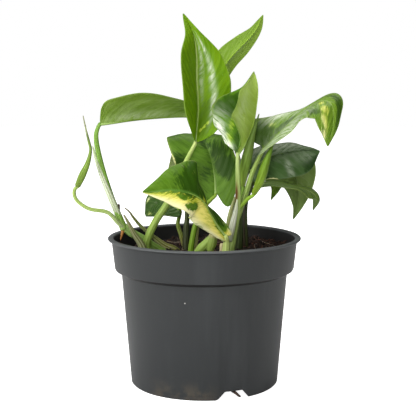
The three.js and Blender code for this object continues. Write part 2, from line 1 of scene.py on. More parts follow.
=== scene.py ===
# Looks of a young pothos in its nursery pot, in metres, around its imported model. Sizes in the
# dictionaries are in millimetres, +Z up, with the front of the plant towards -Y.
import math
import random

import bpy
from mathutils import Matrix, Vector, noise


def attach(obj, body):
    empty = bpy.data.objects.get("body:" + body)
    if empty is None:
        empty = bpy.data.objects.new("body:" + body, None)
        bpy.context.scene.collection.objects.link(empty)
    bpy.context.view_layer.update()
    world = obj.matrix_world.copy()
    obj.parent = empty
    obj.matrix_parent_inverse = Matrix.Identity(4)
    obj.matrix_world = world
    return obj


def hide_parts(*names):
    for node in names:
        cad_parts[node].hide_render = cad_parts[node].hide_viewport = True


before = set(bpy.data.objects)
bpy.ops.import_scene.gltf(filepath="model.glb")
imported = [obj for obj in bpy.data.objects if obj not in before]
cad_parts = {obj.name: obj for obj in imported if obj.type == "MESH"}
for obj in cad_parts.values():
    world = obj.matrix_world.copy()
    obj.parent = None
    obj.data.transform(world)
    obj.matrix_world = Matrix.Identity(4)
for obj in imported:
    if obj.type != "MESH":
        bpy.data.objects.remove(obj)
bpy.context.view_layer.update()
mm = 0.001

# Camera, light and floor

view = {
    "place": (2.27, -680, 196.6),
    "pitch": 7.28,           # degrees down
    "focalPixels": 1103.2,   # focal length for a picture as wide as the next line says
    "pictureWidth": 416,
    "sensor": 36,
    "clipStart": 10,
}

studio = {
    "glowLeft": 0.4, "glowRight": 0.07,      # the room is lighter on the left
    "backdropGlow": 1.0,
    "floor": "#f4f4f3", "floorShade": "#efefee", "floorRoughness": 0.9,
    "floorGlow": 1.0, "floorBounce": 0.05,   # as the camera sees it, and as it lights the plant
    "floorReach": 3.0, "floorSides": 96,
    # name: [place in metres, width, height, power, aim height]
    "lights": {
        "key": [(-0.8, -0.7, 0.9), 0.45, 0.8, 12, 0.13],
        "strip": [(-0.09, -1.05, 0.42), 0.12, 0.5, 4, 0.17],
        "window": [(-0.8, -0.75, 0.3), 0.14, 0.6, 2.5, 0.05],
        "fill": [(1.0, -0.9, 0.55), 0.9, 0.9, 1.4, 0.1],
        "top": [(0.15, 0.25, 1.3), 0.9, 0.5, 9, 0.1],
    },
}


def addObject(name, data):
    added = bpy.data.objects.new(name, data)
    bpy.context.scene.collection.objects.link(added)
    return added


def makeCamera():
    camera = bpy.data.cameras.new("camera")
    camera.sensor_width = view["sensor"]
    camera.lens = view["sensor"] * view["focalPixels"] / view["pictureWidth"]
    camera.clip_start = view["clipStart"] * mm
    holder = addObject("camera", camera)
    holder.location = Vector(view["place"]) * mm
    holder.rotation_euler = (math.radians(90 - view["pitch"]), 0, 0)
    bpy.context.scene.camera = holder


def makeLights():
    for name, (spot, width, height, power, aimHeight) in studio["lights"].items():
        light = bpy.data.lights.new(name, "AREA")
        light.shape = "RECTANGLE"
        light.size = width
        light.size_y = height
        light.energy = power
        holder = addObject(name, light)
        holder.location = spot
        aim = Vector((0, 0, aimHeight)) - Vector(spot)
        holder.rotation_euler = aim.to_track_quat("-Z", "Y").to_euler()


def makeWorld():
    world = bpy.data.worlds.new("studio")
    world.use_nodes = True
    tree = world.node_tree
    tree.nodes.clear()
    way = place(tree, "TexCoord").outputs["Generated"]
    sideways = place(tree, "SeparateXYZ", {0: way}).outputs[0]
    room = fade(tree, sideways, -1, 1, studio["glowLeft"], studio["glowRight"])
    glow = fade(tree, seenByCamera(tree), 0, 1, room, studio["backdropGlow"])
    background = place(tree, "Background", {"Color": (1, 1, 1, 1), "Strength": glow})
    place(tree, "OutputWorld", {"Surface": background.outputs["Background"]})
    bpy.context.scene.world = world
    bpy.context.scene.view_settings.view_transform = "Standard"


def makeFloor():
    deselect()
    bpy.ops.mesh.primitive_circle_add(vertices=studio["floorSides"], radius=studio["floorReach"],
                                      fill_type="NGON")
    floor = bpy.context.object
    floor.name = "floor"
    material, tree = newMaterial("floor_white")
    cloud = grain(tree, objectSpace(tree), 3.0)
    dress(tree, {
        "Base Color": tint(tree, cloud, studio["floor"], studio["floorShade"]),
        "Roughness": studio["floorRoughness"],
        "Emission Color": (1, 1, 1, 1),
        "Emission Strength": fade(tree, seenByCamera(tree), 0, 1, studio["floorBounce"], studio["floorGlow"]),
    })
    floor.data.materials.append(material)


# Helpers for materials


def colour(code):
    # A linear colour from a web colour such as "#4c8516"
    parts = [int(code[i:i + 2], 16) / 255 for i in (1, 3, 5)]
    linear = [part / 12.92 if part <= 0.04045 else ((part + 0.055) / 1.055) ** 2.4 for part in parts]
    return (*linear, 1)


def feed(tree, socket, value):
    # A socket takes a link from another node, a web colour or a plain value
    if isinstance(value, bpy.types.NodeSocket):
        tree.links.new(value, socket)
    elif isinstance(value, str):
        socket.default_value = colour(value)
    else:
        socket.default_value = value


def place(tree, kind, sockets=None, **settings):
    # A new node with its settings, and with something fed to each named socket
    node = tree.nodes.new("ShaderNode" + kind)
    for name, value in settings.items():
        setattr(node, name, value)
    for name, value in (sockets or {}).items():
        feed(tree, node.inputs[name], value)
    return node


def newMaterial(name):
    material = bpy.data.materials.new(name)
    material.use_nodes = True
    material.node_tree.nodes.clear()
    return material, material.node_tree


def dress(tree, sockets):
    # The material's shader, with something fed to each named socket
    shader = place(tree, "BsdfPrincipled", sockets)
    place(tree, "OutputMaterial", {"Surface": shader.outputs["BSDF"]})


def newGroup(name, inputs, outputs):
    # Inputs are given as {name: "Float" or "Vector"}, and each output is a number
    group = bpy.data.node_groups.new(name, "ShaderNodeTree")
    for socket, kind in inputs.items():
        group.interface.new_socket(socket, in_out="INPUT", socket_type="NodeSocket" + kind)
    for socket in outputs:
        group.interface.new_socket(socket, in_out="OUTPUT", socket_type="NodeSocketFloat")
    return group, group.nodes.new("NodeGroupInput").outputs, group.nodes.new("NodeGroupOutput").inputs


def compute(tree, operation, first, second=0.0, third=0.0):
    return place(tree, "Math", {0: first, 1: second, 2: third}, operation=operation).outputs[0]


def times(tree, first, *others):
    for other in others:
        first = compute(tree, "MULTIPLY", first, other)
    return first


def scaled(tree, value, factor, offset):
    return compute(tree, "MULTIPLY_ADD", value, factor, offset)


def fade(tree, value, low, high, bottom=0.0, top=1.0):
    # A smooth step from bottom to top while the value goes from low to high
    sockets = {"Value": value, "From Min": low, "From Max": high, "To Min": bottom, "To Max": top}
    return place(tree, "MapRange", sockets, interpolation_type="SMOOTHSTEP").outputs["Result"]


def tint(tree, amount, first, second, way="MIX"):
    return place(tree, "Mix", {0: amount, 6: first, 7: second}, data_type="RGBA", blend_type=way).outputs[2]


def darkened(tree, tone, code):
    return tint(tree, 1.0, tone, code, "MULTIPLY")


def grain(tree, where, scale, detail=3.0, roughness=0.55, stretch=None):
    # Cloudy noise from 0 to 1, stretched along the axes when three numbers are given
    if stretch:
        where = place(tree, "Mapping", {"Vector": where, "Scale": stretch}).outputs[0]
    sockets = {"Vector": where, "Scale": scale, "Detail": detail, "Roughness": roughness}
    return place(tree, "TexNoise", sockets).outputs[0]


def mask(tree, name):
    # A mask painted on the mesh
    return place(tree, "Attribute", attribute_name=name).outputs["Fac"]


def surfaceUV(tree):
    return place(tree, "UVMap", uv_map="surface").outputs["UV"]


def objectSpace(tree):
    return place(tree, "TexCoord").outputs["Object"]


def seenByCamera(tree):
    return place(tree, "LightPath").outputs["Is Camera Ray"]


def ramped(tree, value, colours):
    # A colour that goes through the given ones, each with its place from 0 to 1
    ramp = place(tree, "ValToRGB", {"Fac": value})
    stops = ramp.color_ramp.elements
    while len(stops) < len(colours):
        stops.new(0.5)
    for stop, (position, code) in zip(stops, colours):
        stop.position = position
        stop.color = colour(code)
    return ramp.outputs["Color"]


def relief(tree, height, strength, depth):
    # Depth is in millimetres
    sockets = {"Height": height, "Strength": strength, "Distance": depth * mm}
    return place(tree, "Bump", sockets).outputs["Normal"]


# Helpers for meshes


def deselect():
    if bpy.context.object and bpy.context.object.mode == "EDIT":
        bpy.ops.object.mode_set(mode="OBJECT")
    bpy.ops.object.select_all(action="DESELECT")


def pick(pieces):
    deselect()
    for piece in pieces:
        piece.select_set(True)
    bpy.context.view_layer.objects.active = pieces[0]


def joinAll(pieces, name):
    pick(pieces)
    if len(pieces) > 1:
        bpy.ops.object.join()
    whole = bpy.context.object
    whole.name = name
    whole.data.name = name
    return whole


def finishWith(piece, kind, **settings):
    # Adds a modifier and applies it
    pick([piece])
    modifier = piece.modifiers.new(kind.lower(), kind)
    for name, value in settings.items():
        setattr(modifier, name, value)
    bpy.ops.object.modifier_apply(modifier=modifier.name)


def startEdit():
    bpy.ops.object.mode_set(mode="EDIT")
    bpy.ops.mesh.select_all(action="SELECT")


def endEdit():
    # Turns all faces outwards first
    bpy.ops.mesh.select_all(action="SELECT")
    bpy.ops.mesh.normals_make_consistent(inside=False)
    bpy.ops.object.mode_set(mode="OBJECT")


def drawRings(rings):
    # Extrudes and scales the selected faces from ring to ring, each a radius and a height
    for (radius, height), (nextRadius, nextHeight) in zip(rings, rings[1:]):
        rise = (0, 0, (nextHeight - height) * mm)
        bpy.ops.mesh.extrude_region_move(TRANSFORM_OT_translate={"value": rise})
        share = nextRadius / radius
        bpy.ops.transform.resize(value=(share, share, 1), center_override=(0, 0, 0))


def settle(piece, materials, nodes, slot):
    # Its materials, the body it rides on, the nodes it stands for and its material slot, which is not used
    if materials:
        piece.data.materials.clear()
        for material in materials:
            piece.data.materials.append(material)
    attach(piece, "root")
    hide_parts(*nodes)


def keyed(values, t):
    # A smooth value, or point, through evenly spaced ones, for t from 0 to 1
    last = len(values) - 1
    i = min(int(t * last), last - 1)
    f = t * last - i
    a, b = values[i], values[i + 1]
    before = values[i - 1] if i > 0 else 2 * a - b
    after = values[i + 2] if i + 2 <= last else 2 * b - a
    slopeA = (b - before) / 2
    slopeB = (after - a) / 2
    return a + f * (slopeA + f * (3 * (b - a) - 2 * slopeA - slopeB + f * (2 * (a - b) + slopeA + slopeB)))


def pointOn(path, t):
    return keyed([Vector(point) for point in path], t)


def wayOn(path, t):
    nudge = 1e-4
    return (pointOn(path, min(t + nudge, 1)) - pointOn(path, max(t - nudge, 0))).normalized()


def crosswise(way):
    # Two directions across a path that mostly lies in a plane seen from the front
    across = Vector((0, 1, 0)).cross(way).normalized()
    return across, way.cross(across)


def lengthOf(path):
    return sum((Vector(a) - Vector(b)).length for a, b in zip(path, path[1:]))


def spaced(path, count):
    # Values of t that lie evenly along the path's length
    samples = 200
    points = [pointOn(path, i / samples) for i in range(samples + 1)]
    reached = [0.0]
    for a, b in zip(points, points[1:]):
        reached.append(reached[-1] + (b - a).length)
    values = []
    i = 0
    for k in range(count + 1):
        wanted = reached[-1] * k / count
        while i < samples - 1 and reached[i + 1] < wanted:
            i += 1
        values.append(min(1, (i + (wanted - reached[i]) / (reached[i + 1] - reached[i])) / samples))
    return values


def newSheet(name, columns, rows, shape):
    # A grid whose points go where shape(column, row) says, in millimetres, which also gives each
    # point's place in the UV map
    deselect()
    bpy.ops.mesh.primitive_grid_add(x_subdivisions=columns, y_subdivisions=rows, size=1)
    piece = bpy.context.object
    piece.name = name
    mesh = piece.data
    mesh.uv_layers[0].name = "surface"
    found = [(vertex.co.x + 0.5, vertex.co.y + 0.5) for vertex in mesh.vertices]
    placed = [shape(round(u * columns), round(v * rows)) for u, v in found]
    for vertex, (point, uv) in zip(mesh.vertices, placed):
        vertex.co = point * mm
    layer = mesh.uv_layers[0].data
    for loop in mesh.loops:
        layer[loop.index].uv = placed[loop.vertex_index][1]
    return piece, [uv for point, uv in placed]


def paint(piece, places, name, patches):
    # A soft mask of oval patches, each given as u, v, reach in u, reach in v, strength
    layer = piece.data.attributes.new(name, "FLOAT", "POINT")
    softness = 0.7
    for i, (u, v) in enumerate(places):
        value = 0.0
        for patchU, patchV, reachU, reachV, strength in patches:
            away = ((u - patchU) / reachU) ** 2 + ((v - patchV) / reachV) ** 2
            value = max(value, strength * math.exp(-away * softness))
        layer.data[i].value = value


def weld(piece):
    pick([piece])
    startEdit()
    bpy.ops.mesh.remove_doubles(threshold=0.002 * mm)
    endEdit()


makeCamera()
makeLights()
makeWorld()
makeFloor()
print("camera, light and floor made")

# Nursery pot

pot = {
    "sides": 192,
    "rimRadius": 60, "height": 92, "lipHeight": 1.4,
    "collarTopRadius": 57.7, "collarBottomRadius": 55.8, "collarBottom": 72.5,
    "shoulderBottom": 69, "bodyTopRadius": 51.6, "footRadius": 46,
    "wall": 1.3, "floorHeight": 5.6, "floorThickness": 1.4, "edge": 0.5,
    "notches": 3, "notchTurn": -67.3, "notchBottomWidth": 23, "notchTopWidth": 11.5,
    "notchHeight": 5.4, "notchDepth": 12, "notchEdge": 0.8,
    "drainHoles": 6, "drainHoleRadius": 5, "drainHoleCircle": 33,
    "roundedEdge": 0.3, "sharpAngle": 32, "smoothAngle": 28,
    # The inside colour is painted shade with soil dirt on the inner wall
    "colour": "#2b2d2e", "scuffColour": "#343637", "grainColour": "#404243", "insideShadeAndDirtColour": "#161514",
    "lipHighlightColour": "#66696a", "lipHighlightShow": 0.5,      # the lip is painted paler as a highlight
    "dirtColour": "#5d5344", "dirtShow": 0.45, "dirtHeight": (2, 14),
    "dirtReach": (-38, -22, -2, 12),             # along X, rising and then falling
    "speck": (-11.2, -49.6, 60), "speckSize": 0.5, "speckColour": "#b9b7b2",
    "shine": 0.28,
}


def potOutline():
    # From the floor's underside round the wall's outside, over the lip and down the inside
    edge, wall, height = pot["edge"], pot["wall"], pot["height"]
    floorTop = pot["floorHeight"] + pot["floorThickness"]
    lipUnder = height - pot["lipHeight"]
    foot, body, rim = pot["footRadius"], pot["bodyTopRadius"], pot["rimRadius"]
    collarTop, collarFoot = pot["collarTopRadius"], pot["collarBottomRadius"]
    collarBottom, shoulder = pot["collarBottom"], pot["shoulderBottom"]
    return [
        (foot - wall - edge, pot["floorHeight"]), (foot - wall - edge, 0),
        (foot - 2 * edge, 0), (foot, 2 * edge),
        (body, shoulder), (body + edge, shoulder + 2 * edge),
        (collarFoot - edge, collarBottom - edge), (collarFoot, collarBottom + edge),
        (collarTop, lipUnder - edge), (rim - edge, lipUnder), (rim, lipUnder + edge),
        (rim, height - edge), (rim - edge, height),
        (collarTop - wall + edge, height), (collarTop - wall, height - edge),
        (collarFoot - wall, collarBottom + 2 * edge),
        (body - wall + edge, shoulder + 2 * edge), (body - wall, shoulder - edge),
        (foot - wall + edge, floorTop + 2 * edge), (foot - wall - 2 * edge, floorTop),
    ]


def potShell(outline):
    # A closed body of revolution, drawn from a disc under the floor
    deselect()
    radius, height = outline[0]
    bpy.ops.mesh.primitive_circle_add(vertices=pot["sides"], radius=radius * mm, fill_type="NGON",
                                      location=(0, 0, height * mm))
    shell = bpy.context.object
    shell.name = "pot_shell"
    bpy.ops.object.transform_apply(location=True, rotation=False, scale=False)
    startEdit()
    drawRings(outline)
    endEdit()
    return shell


def notchTool(turn):
    # A block whose top is drawn in, so that the notch narrows upwards
    deselect()
    bpy.ops.mesh.primitive_cube_add(size=1)
    tool = bpy.context.object
    below = 1
    tall = pot["notchHeight"] + below
    start = pot["footRadius"] - pot["notchDepth"] * 2 / 3
    for vertex in tool.data.vertices:
        x, y, z = vertex.co
        width = pot["notchTopWidth"] if z > 0 else pot["notchBottomWidth"]
        vertex.co = Vector((start + (x + 0.5) * pot["notchDepth"], y * width, (z + 0.5) * tall - below)) * mm
    tool.data.transform(Matrix.Rotation(math.radians(turn), 4, "Z"))
    finishWith(tool, "BEVEL", width=pot["notchEdge"] * mm, segments=3)
    return tool


def drainHoleTool(turn):
    deselect()
    thickness = pot["floorThickness"]
    bpy.ops.mesh.primitive_cylinder_add(vertices=40, radius=pot["drainHoleRadius"] * mm,
                                        depth=thickness * 4 * mm)
    tool = bpy.context.object
    middle = Vector((pot["drainHoleCircle"], 0, pot["floorHeight"] + thickness / 2)) * mm
    tool.data.transform(Matrix.Rotation(math.radians(turn), 4, "Z") @ Matrix.Translation(middle))
    return tool


def potPlastic():
    material, tree = newMaterial("pot_plastic_grey")
    where = objectSpace(tree)
    sideways, depth, height = place(tree, "SeparateXYZ", {0: where}).outputs
    fine = grain(tree, where, 1400, 2)
    drawn = grain(tree, where, 60, 4, 0.6, stretch=(1, 1, 0.12))     # faint marks down the wall
    cloud = grain(tree, where, 90, 4, 0.6)
    tone = tint(tree, fade(tree, drawn, 0.45, 0.8), pot["colour"], pot["scuffColour"])
    tone = tint(tree, fade(tree, fine, 0.62, 0.75, 0, 0.25), tone, pot["grainColour"])
    start, full, last, end = [reach * mm for reach in pot["dirtReach"]]
    clear, above = [reach * mm for reach in pot["dirtHeight"]]
    film = times(tree, fade(tree, height, clear, above, 1, 0), fade(tree, depth, 0, -20 * mm),
                 fade(tree, sideways, start, full), fade(tree, sideways, last, end, 1, 0),
                 fade(tree, cloud, 0.4, 0.62))
    tone = tint(tree, times(tree, film, pot["dirtShow"]), tone, pot["dirtColour"])
    away = place(tree, "VectorMath", {0: where, 1: Vector(pot["speck"]) * mm}, operation="DISTANCE")
    size = pot["speckSize"] * mm
    speck = fade(tree, away.outputs["Value"], 0.3 * size, size, 1, 0)
    tone = tint(tree, speck, tone, pot["speckColour"])
    # The inner wall below the top is painted near-black: painted shade, with soil dirt
    facing = place(tree, "NewGeometry").outputs["Normal"]
    outwards = place(tree, "VectorMath", {0: where, 1: facing}, operation="DOT_PRODUCT").outputs["Value"]
    top = pot["height"] * mm
    inside = times(tree, fade(tree, outwards, 0, -0.01), fade(tree, height, top, top - 2 * mm))
    tone = tint(tree, inside, tone, pot["insideShadeAndDirtColour"])
    # The lip is painted paler: a painted highlight
    lipUnder = top - pot["lipHeight"] * mm
    lipHighlight = fade(tree, height, lipUnder, lipUnder + 0.8 * mm, 0, pot["lipHighlightShow"])
    dress(tree, {
        "Base Color": tint(tree, lipHighlight, tone, pot["lipHighlightColour"]),
        "Roughness": scaled(tree, film, 0.25, scaled(tree, drawn, 0.16, 0.4)),
        "Specular IOR Level": pot["shine"],
        "Normal": relief(tree, scaled(tree, fine, 0.4, drawn), 0.22, 0.2),
    })
    return material


def makePot():
    shell = potShell(potOutline())
    tools = []
    for count, makeTool in ((pot["notches"], notchTool), (pot["drainHoles"], drainHoleTool)):
        tools += [makeTool(pot["notchTurn"] + i * 360 / count) for i in range(count)]
    cutter = joinAll(tools, "pot_cutter")
    finishWith(shell, "BOOLEAN", object=cutter, operation="DIFFERENCE", solver="EXACT")
    bpy.data.objects.remove(cutter)
    finishWith(shell, "BEVEL", width=pot["roundedEdge"] * mm, segments=2, limit_method="ANGLE",
               angle_limit=math.radians(pot["sharpAngle"]))
    pick([shell])
    bpy.ops.object.shade_smooth_by_angle(angle=math.radians(pot["smoothAngle"]))
    settle(shell, [potPlastic()], ["nursery_pot"], "pot_plastic")


makePot()
print("pot made")

# Soil and roots

soil = {
    "level": 82, "topRadius": 54.3, "lumps": 1.1, "clods": 0.7, "pits": 0.35, "grid": 110,
    "gap": 0.6, "wallClear": 1.6,      # between the peat and the wall, and kept by loose bits
    "colour": "#150f0b", "dryColour": "#423126", "redColour": "#50301f",
    "crumbs": 1100, "crumbSizes": (0.5, 2.1), "crumbFlat": 0.7,
    "grit": 30, "gritSizes": (0.4, 1.0), "gritColours": ("#7c7365", "#6a604f", "#8f8676"),
    "fibres": {"count": 130, "radii": (0.12, 0.28), "lengths": (5, 15), "lift": (0, 1.6)},
    "fibreColours": ("#6b3a22", "#321b11"),
    "paleRoots": {"count": 26, "radii": (0.12, 0.24), "lengths": (10, 26), "lift": (0.4, 1.8)},
    "paleRootColours": ("#a08c72", "#c2b49c"),
    "seed": 7,
}


def soilTop(x, y):
    # Higher at the back right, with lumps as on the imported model, and with clods and pits
    slope = 0.035 * x + 0.02 * y
    lumps = (math.sin(0.31 * x + 1.3) * math.cos(0.27 * y - 0.4) + 0.6 * math.sin(0.62 * x - 0.51 * y)
             + 0.5 * math.cos(0.55 * x + 0.73 * y + 2))
    clods = noise.fractal(Vector((x * 0.22, y * 0.22, 3)), 0.6, 2.2, 5)
    pits = noise.noise(Vector((x * 0.9, y * 0.9, 8)))
    return soil["level"] + slope + soil["lumps"] * lumps + soil["clods"] * clods + soil["pits"] * pits


def soilBed():
    count = soil["grid"]

    def shape(column, row):
        # The square grid is pressed into a disc
        a, b = column / count * 2 - 1, row / count * 2 - 1
        x = a * math.sqrt(1 - b * b / 2) * soil["topRadius"]
        y = b * math.sqrt(1 - a * a / 2) * soil["topRadius"]
        return Vector((x, y, soilTop(x, y))), (column / count, row / count)

    bed = newSheet("soil_bed", count, count, shape)[0]
    edge = pot["edge"]
    clear = pot["wall"] + soil["gap"]
    bottom = pot["floorHeight"] + pot["floorThickness"] + soil["gap"] / 2
    rings = [
        (soil["topRadius"], pot["collarBottom"] + 4 * edge),
        (pot["bodyTopRadius"] - clear, pot["shoulderBottom"] + 4 * edge),
        (pot["footRadius"] - clear, bottom + 3 * edge),
        (pot["footRadius"] - clear - 2 * edge, bottom),
    ]
    pick([bed])
    startEdit()
    bpy.ops.mesh.flip_normals()
    bpy.ops.mesh.extrude_region_move()
    bpy.ops.transform.resize(value=(1, 1, 0), center_override=(0, 0, rings[0][1] * mm))
    drawRings(rings)
    endEdit()
    bpy.ops.object.shade_smooth()
    return bed


def scattered(count, draw):
    # Places on the soil, clear of the wall
    places = []
    for i in range(count):
        angle = draw.uniform(0, 2 * math.pi)
        radius = (soil["topRadius"] - soil["wallClear"]) * math.sqrt(draw.random())
        x, y = radius * math.cos(angle), radius * math.sin(angle)
        places.append((x, y, soilTop(x, y)))
    return places


def makeCrumbs(name, count, sizes, draw):
    # One lumpy crumb, copied over the soil at many sizes and turns
    deselect()
    bpy.ops.mesh.primitive_ico_sphere_add(subdivisions=2, radius=1)
    first = bpy.context.object
    for vertex in first.data.vertices:
        vertex.co *= 1 + 0.35 * noise.noise(vertex.co * 1.6)
    small, large = sizes
    anyTurn = 6.3
    copies = []
    for x, y, z in scattered(count, draw):
        size = draw.uniform(0, 1) ** 2.2 * (large - small) + small
        turn = (Matrix.Rotation(draw.uniform(0, anyTurn), 4, "Z")
                @ Matrix.Rotation(draw.uniform(0, anyTurn), 4, "X"))
        deep = size * draw.uniform(0.6, 1)
        high = size * soil["crumbFlat"] * draw.uniform(0.6, 1)
        where = Matrix.Translation((x, y, z + size * 0.2))
        crumb = first.data.copy()
        crumb.transform(Matrix.Scale(mm, 4) @ where @ turn @ Matrix.Diagonal((size, deep, high, 1)))
        copies.append(addObject(name, crumb))
    bpy.data.objects.remove(first)
    whole = joinAll(copies, name)
    bpy.ops.object.shade_smooth()
    return whole


def thread(name, points, radius, sides=6, steps=10):
    # A thin tapering rod through points, closed to a point at both ends
    def shape(column, row):
        t = min(max((row - 1) / (steps - 2), 0), 1)
        along = wayOn(points, t)
        across = along.orthogonal().normalized()
        size = 0 if row in (0, steps) else radius * (1 - 0.6 * t)
        angle = 2 * math.pi * column / sides
        side = across * math.cos(angle) + along.cross(across) * math.sin(angle)
        return pointOn(points, t) + side * size, (column / sides, t)

    rod = newSheet(name, sides, steps, shape)[0]
    weld(rod)
    return rod


def makeFibres(name, form, draw):
    # Bent threads that lie on the soil
    rods = []
    bends = 4
    for i, (x, y, z) in enumerate(scattered(form["count"], draw)):
        turn = draw.uniform(0, 2 * math.pi)
        stretch = draw.uniform(*form["lengths"]) / (bends - 1)
        bend = draw.uniform(-0.9, 0.9)
        points = []
        for k in range(bends):
            turn += bend / 2
            away = min(1, (soil["topRadius"] - 1) / max(math.hypot(x, y), 1))
            x, y = x * away, y * away
            points.append((x, y, soilTop(x, y) + draw.uniform(*form["lift"])))
            x += math.cos(turn) * stretch
            y += math.sin(turn) * stretch
        rods.append(thread("%s_%d" % (name, i), points, draw.uniform(*form["radii"])))
    whole = joinAll(rods, name)
    bpy.ops.object.shade_smooth()
    return whole


def earthy(name, dark, dry, red):
    material, tree = newMaterial(name)
    where = objectSpace(tree)
    cloud = grain(tree, where, 90, 5, 0.65)
    fine = grain(tree, where, 900, 4, 0.7)
    tone = tint(tree, fade(tree, fine, 0.42, 0.72), dark, dry)
    dress(tree, {
        "Base Color": tint(tree, fade(tree, cloud, 0.5, 0.72, 0, 0.6), tone, red),
        "Roughness": 0.95,
        "Specular IOR Level": 0.25,
        "Normal": relief(tree, fine, 0.8, 0.6),
    })
    return material


def fibrous(name, base, other):
    # Thin roots and coir, streaked along their length
    material, tree = newMaterial(name)
    streak = grain(tree, surfaceUV(tree), 5, 3, 0.6, stretch=(2, 0.8, 1))
    spots = grain(tree, objectSpace(tree), 120, 3)
    tone = tint(tree, fade(tree, streak, 0.35, 0.65), base, other)
    dress(tree, {
        "Base Color": tint(tree, fade(tree, spots, 0.45, 0.7, 0, 0.6), tone, soil["dryColour"]),
        "Roughness": 0.85,
        "Normal": relief(tree, streak, 0.5, 0.2),
    })
    return material


drainRoot = {
    "path": [(12.6, -30.6, 6.3), (14.8, -33.6, 4.6), (17.8, -39.4, 4.1), (19.8, -44.4, 3.8),
             (21.2, -48, 3.7)],
    "radius": 1.45, "sides": 14, "steps": 30, "knobs": 0.25, "seed": 7,
    "colours": ("#2f1a0e", "#180d07"),
}


def makeSoil():
    draw = random.Random(soil["seed"])
    peat = earthy("soil_peat", soil["colour"], soil["dryColour"], soil["redColour"])
    bed = soilBed()
    crumbs = makeCrumbs("soil_crumbs", soil["crumbs"], soil["crumbSizes"], draw)
    grit = makeCrumbs("soil_grit", soil["grit"], soil["gritSizes"], draw)
    fibres = makeFibres("soil_fibres", soil["fibres"], draw)
    pale = makeFibres("soil_pale_roots", soil["paleRoots"], draw)
    stone = earthy("soil_grit", *soil["gritColours"])
    coir = fibrous("coir", *soil["fibreColours"])
    paleRoot = fibrous("pale_root", *soil["paleRootColours"])
    for piece, material in ((bed, peat), (crumbs, peat), (grit, stone), (fibres, coir), (pale, paleRoot)):
        settle(piece, [material], ["potting_soil"], "soil")


def makeDrainRoot():
    root = thread("drain_root_strand", drainRoot["path"], drainRoot["radius"], drainRoot["sides"],
                  drainRoot["steps"])
    noise.seed_set(drainRoot["seed"])      # without it the knobs change from run to run
    for vertex in root.data.vertices:
        vertex.co += drainRoot["knobs"] * mm * noise.noise_vector(vertex.co * 900)
    bpy.ops.object.shade_smooth()
    settle(root, [fibrous("brown_root", *drainRoot["colours"])], ["drain_root"], "root")


makeSoil()
makeDrainRoot()
print("soil made")

# Stems and petioles

# Each limb is a rod through its path, with radii spaced evenly along it. Flat squeezes it in depth,
# and joins gives the node of the leaf that it carries. Colours go from its foot to its end, each
# with its place from 0 to 1. Groove is the turn in degrees of the channel along it, rings are the
# places of swollen joints, stripes make it fibrous, and brown has patches like those of the leaves.

leftStem = {
    "stem": {
        "path": [(-19, 4, 64), (-24, 2, 79.6), (-29, 1, 83.8), (-34, -2, 87.6), (-39, -5, 91.6),
                 (-44.6, -9, 95.4), (-49, -12, 99.6)],
        "radius": [2.2, 2.3, 2.6, 2.5],
        "colours": [(0, "#6d8f3a"), (0.6, "#8db056"), (1, "#9cbb6c")],
        "rings": [0.62, 0.9],
    },
    "petiole": {
        "path": [(-49.5, -12.5, 99), (-55.6, -13, 115), (-61, -13, 132), (-64.6, -13, 147),
                 (-65.4, -13, 156), (-63.7, -12.2, 161.6)],
        "radius": [2.6, 2.1, 1.9, 1.85, 1.7, 1.2],
        "joins": "leaf_left_arched",
        "colours": [(0, "#8db056"), (0.4, "#79a340"), (1, "#7ca644")],
        "groove": 200,
    },
    "wing": {
        "path": [(-50.6, -13.5, 103), (-56.4, -14.5, 117), (-61.6, -14.5, 130), (-65.4, -14, 141),
                 (-67.4, -13.5, 149)],
        "radius": [1.5, 1.9, 1.7, 1.2, 0.4],
        "flat": 0.6,
        "colours": [(0, "#c3cfae"), (0.5, "#cdd6bf"), (1, "#b4c593")],
        "stripes": 0.5,
    },
    "youngPetiole": {
        "path": [(-49.4, -13.6, 99.6), (-52.8, -16, 103.2), (-56.5, -18, 107.9), (-60.2, -19, 110.1),
                 (-69.5, -21, 112), (-76.4, -21, 116.8), (-78.2, -21, 121.4), (-77.3, -21, 124.5)],
        "radius": [1.4, 1.2, 1.1],
        "joins": "young_leaf_left",
        "colours": [(0, "#b3c58c"), (0.4, "#a2b96a"), (1, "#93ab55")],
    },
    "scar": {
        "path": [(-52.8, -12.6, 109.8), (-52.2, -12.8, 113.2)],
        "radius": [1.4, 0.9],
        "colours": [(0, "#5b4a35"), (1, "#3c2e22")],
    },
    "rootTip": {
        "path": [(-49.6, -13, 98.4), (-50.2, -13.5, 95.4), (-51.2, -14, 92)],
        "radius": [1.2, 0.8, 0.4],
        "colours": [(0, "#b0783c"), (1, "#8a5426")],
    },
}

leftSheath = {
    "sheath": {
        "path": [(-37, -16.4, 64), (-36.4, -15.6, 79), (-38, -15, 88), (-42.6, -16, 96),
                 (-46.6, -17.4, 104), (-48.6, -18, 107.6)],
        "radius": [2.2, 2.7, 2.4, 1.5, 0.5],
        "flat": 0.6,
        "colours": [(0, "#6a6d42"), (0.5, "#7e845b"), (1, "#777349")],
        "stripes": 0.8,
    },
}

leftOldStem = {
    "stalk": {
        "path": [(-9, 11, 64), (-17, 10, 80), (-25, 9, 84.6), (-31, 7, 89.6), (-36, 5, 94.2),
                 (-40.4, 3, 98.6), (-44, 1, 103.4), (-46.6, -1, 107.6), (-49.2, -2, 110)],
        "radius": [1.8, 2.7, 2.4, 1.8, 1.2, 0.9, 0.35],
        "flat": 0.6,
        "colours": [(0, "#696535"), (0.4, "#86874b"), (0.8, "#818c50"), (1, "#81723c")],
        "stripes": 0.7,
    },
}

tallStem = {
    "petiole": {
        "path": [(-31, -11, 64), (-35, -9, 84), (-35, -9, 91), (-29.6, -9.5, 103), (-22.8, -9.5, 113.4),
                 (-16, -8.5, 128), (-11, -7.5, 139.6), (-5.8, -6.5, 149.6)],
        "radius": [2.6, 2.5, 2.4, 2.15, 1.7, 1.1],
        "joins": "leaf_tall",
        "colours": [(0, "#749436"), (0.35, "#8ba64b"), (0.9, "#a3bb62"), (1, "#c6d388")],
        "groove": 20,
    },
}

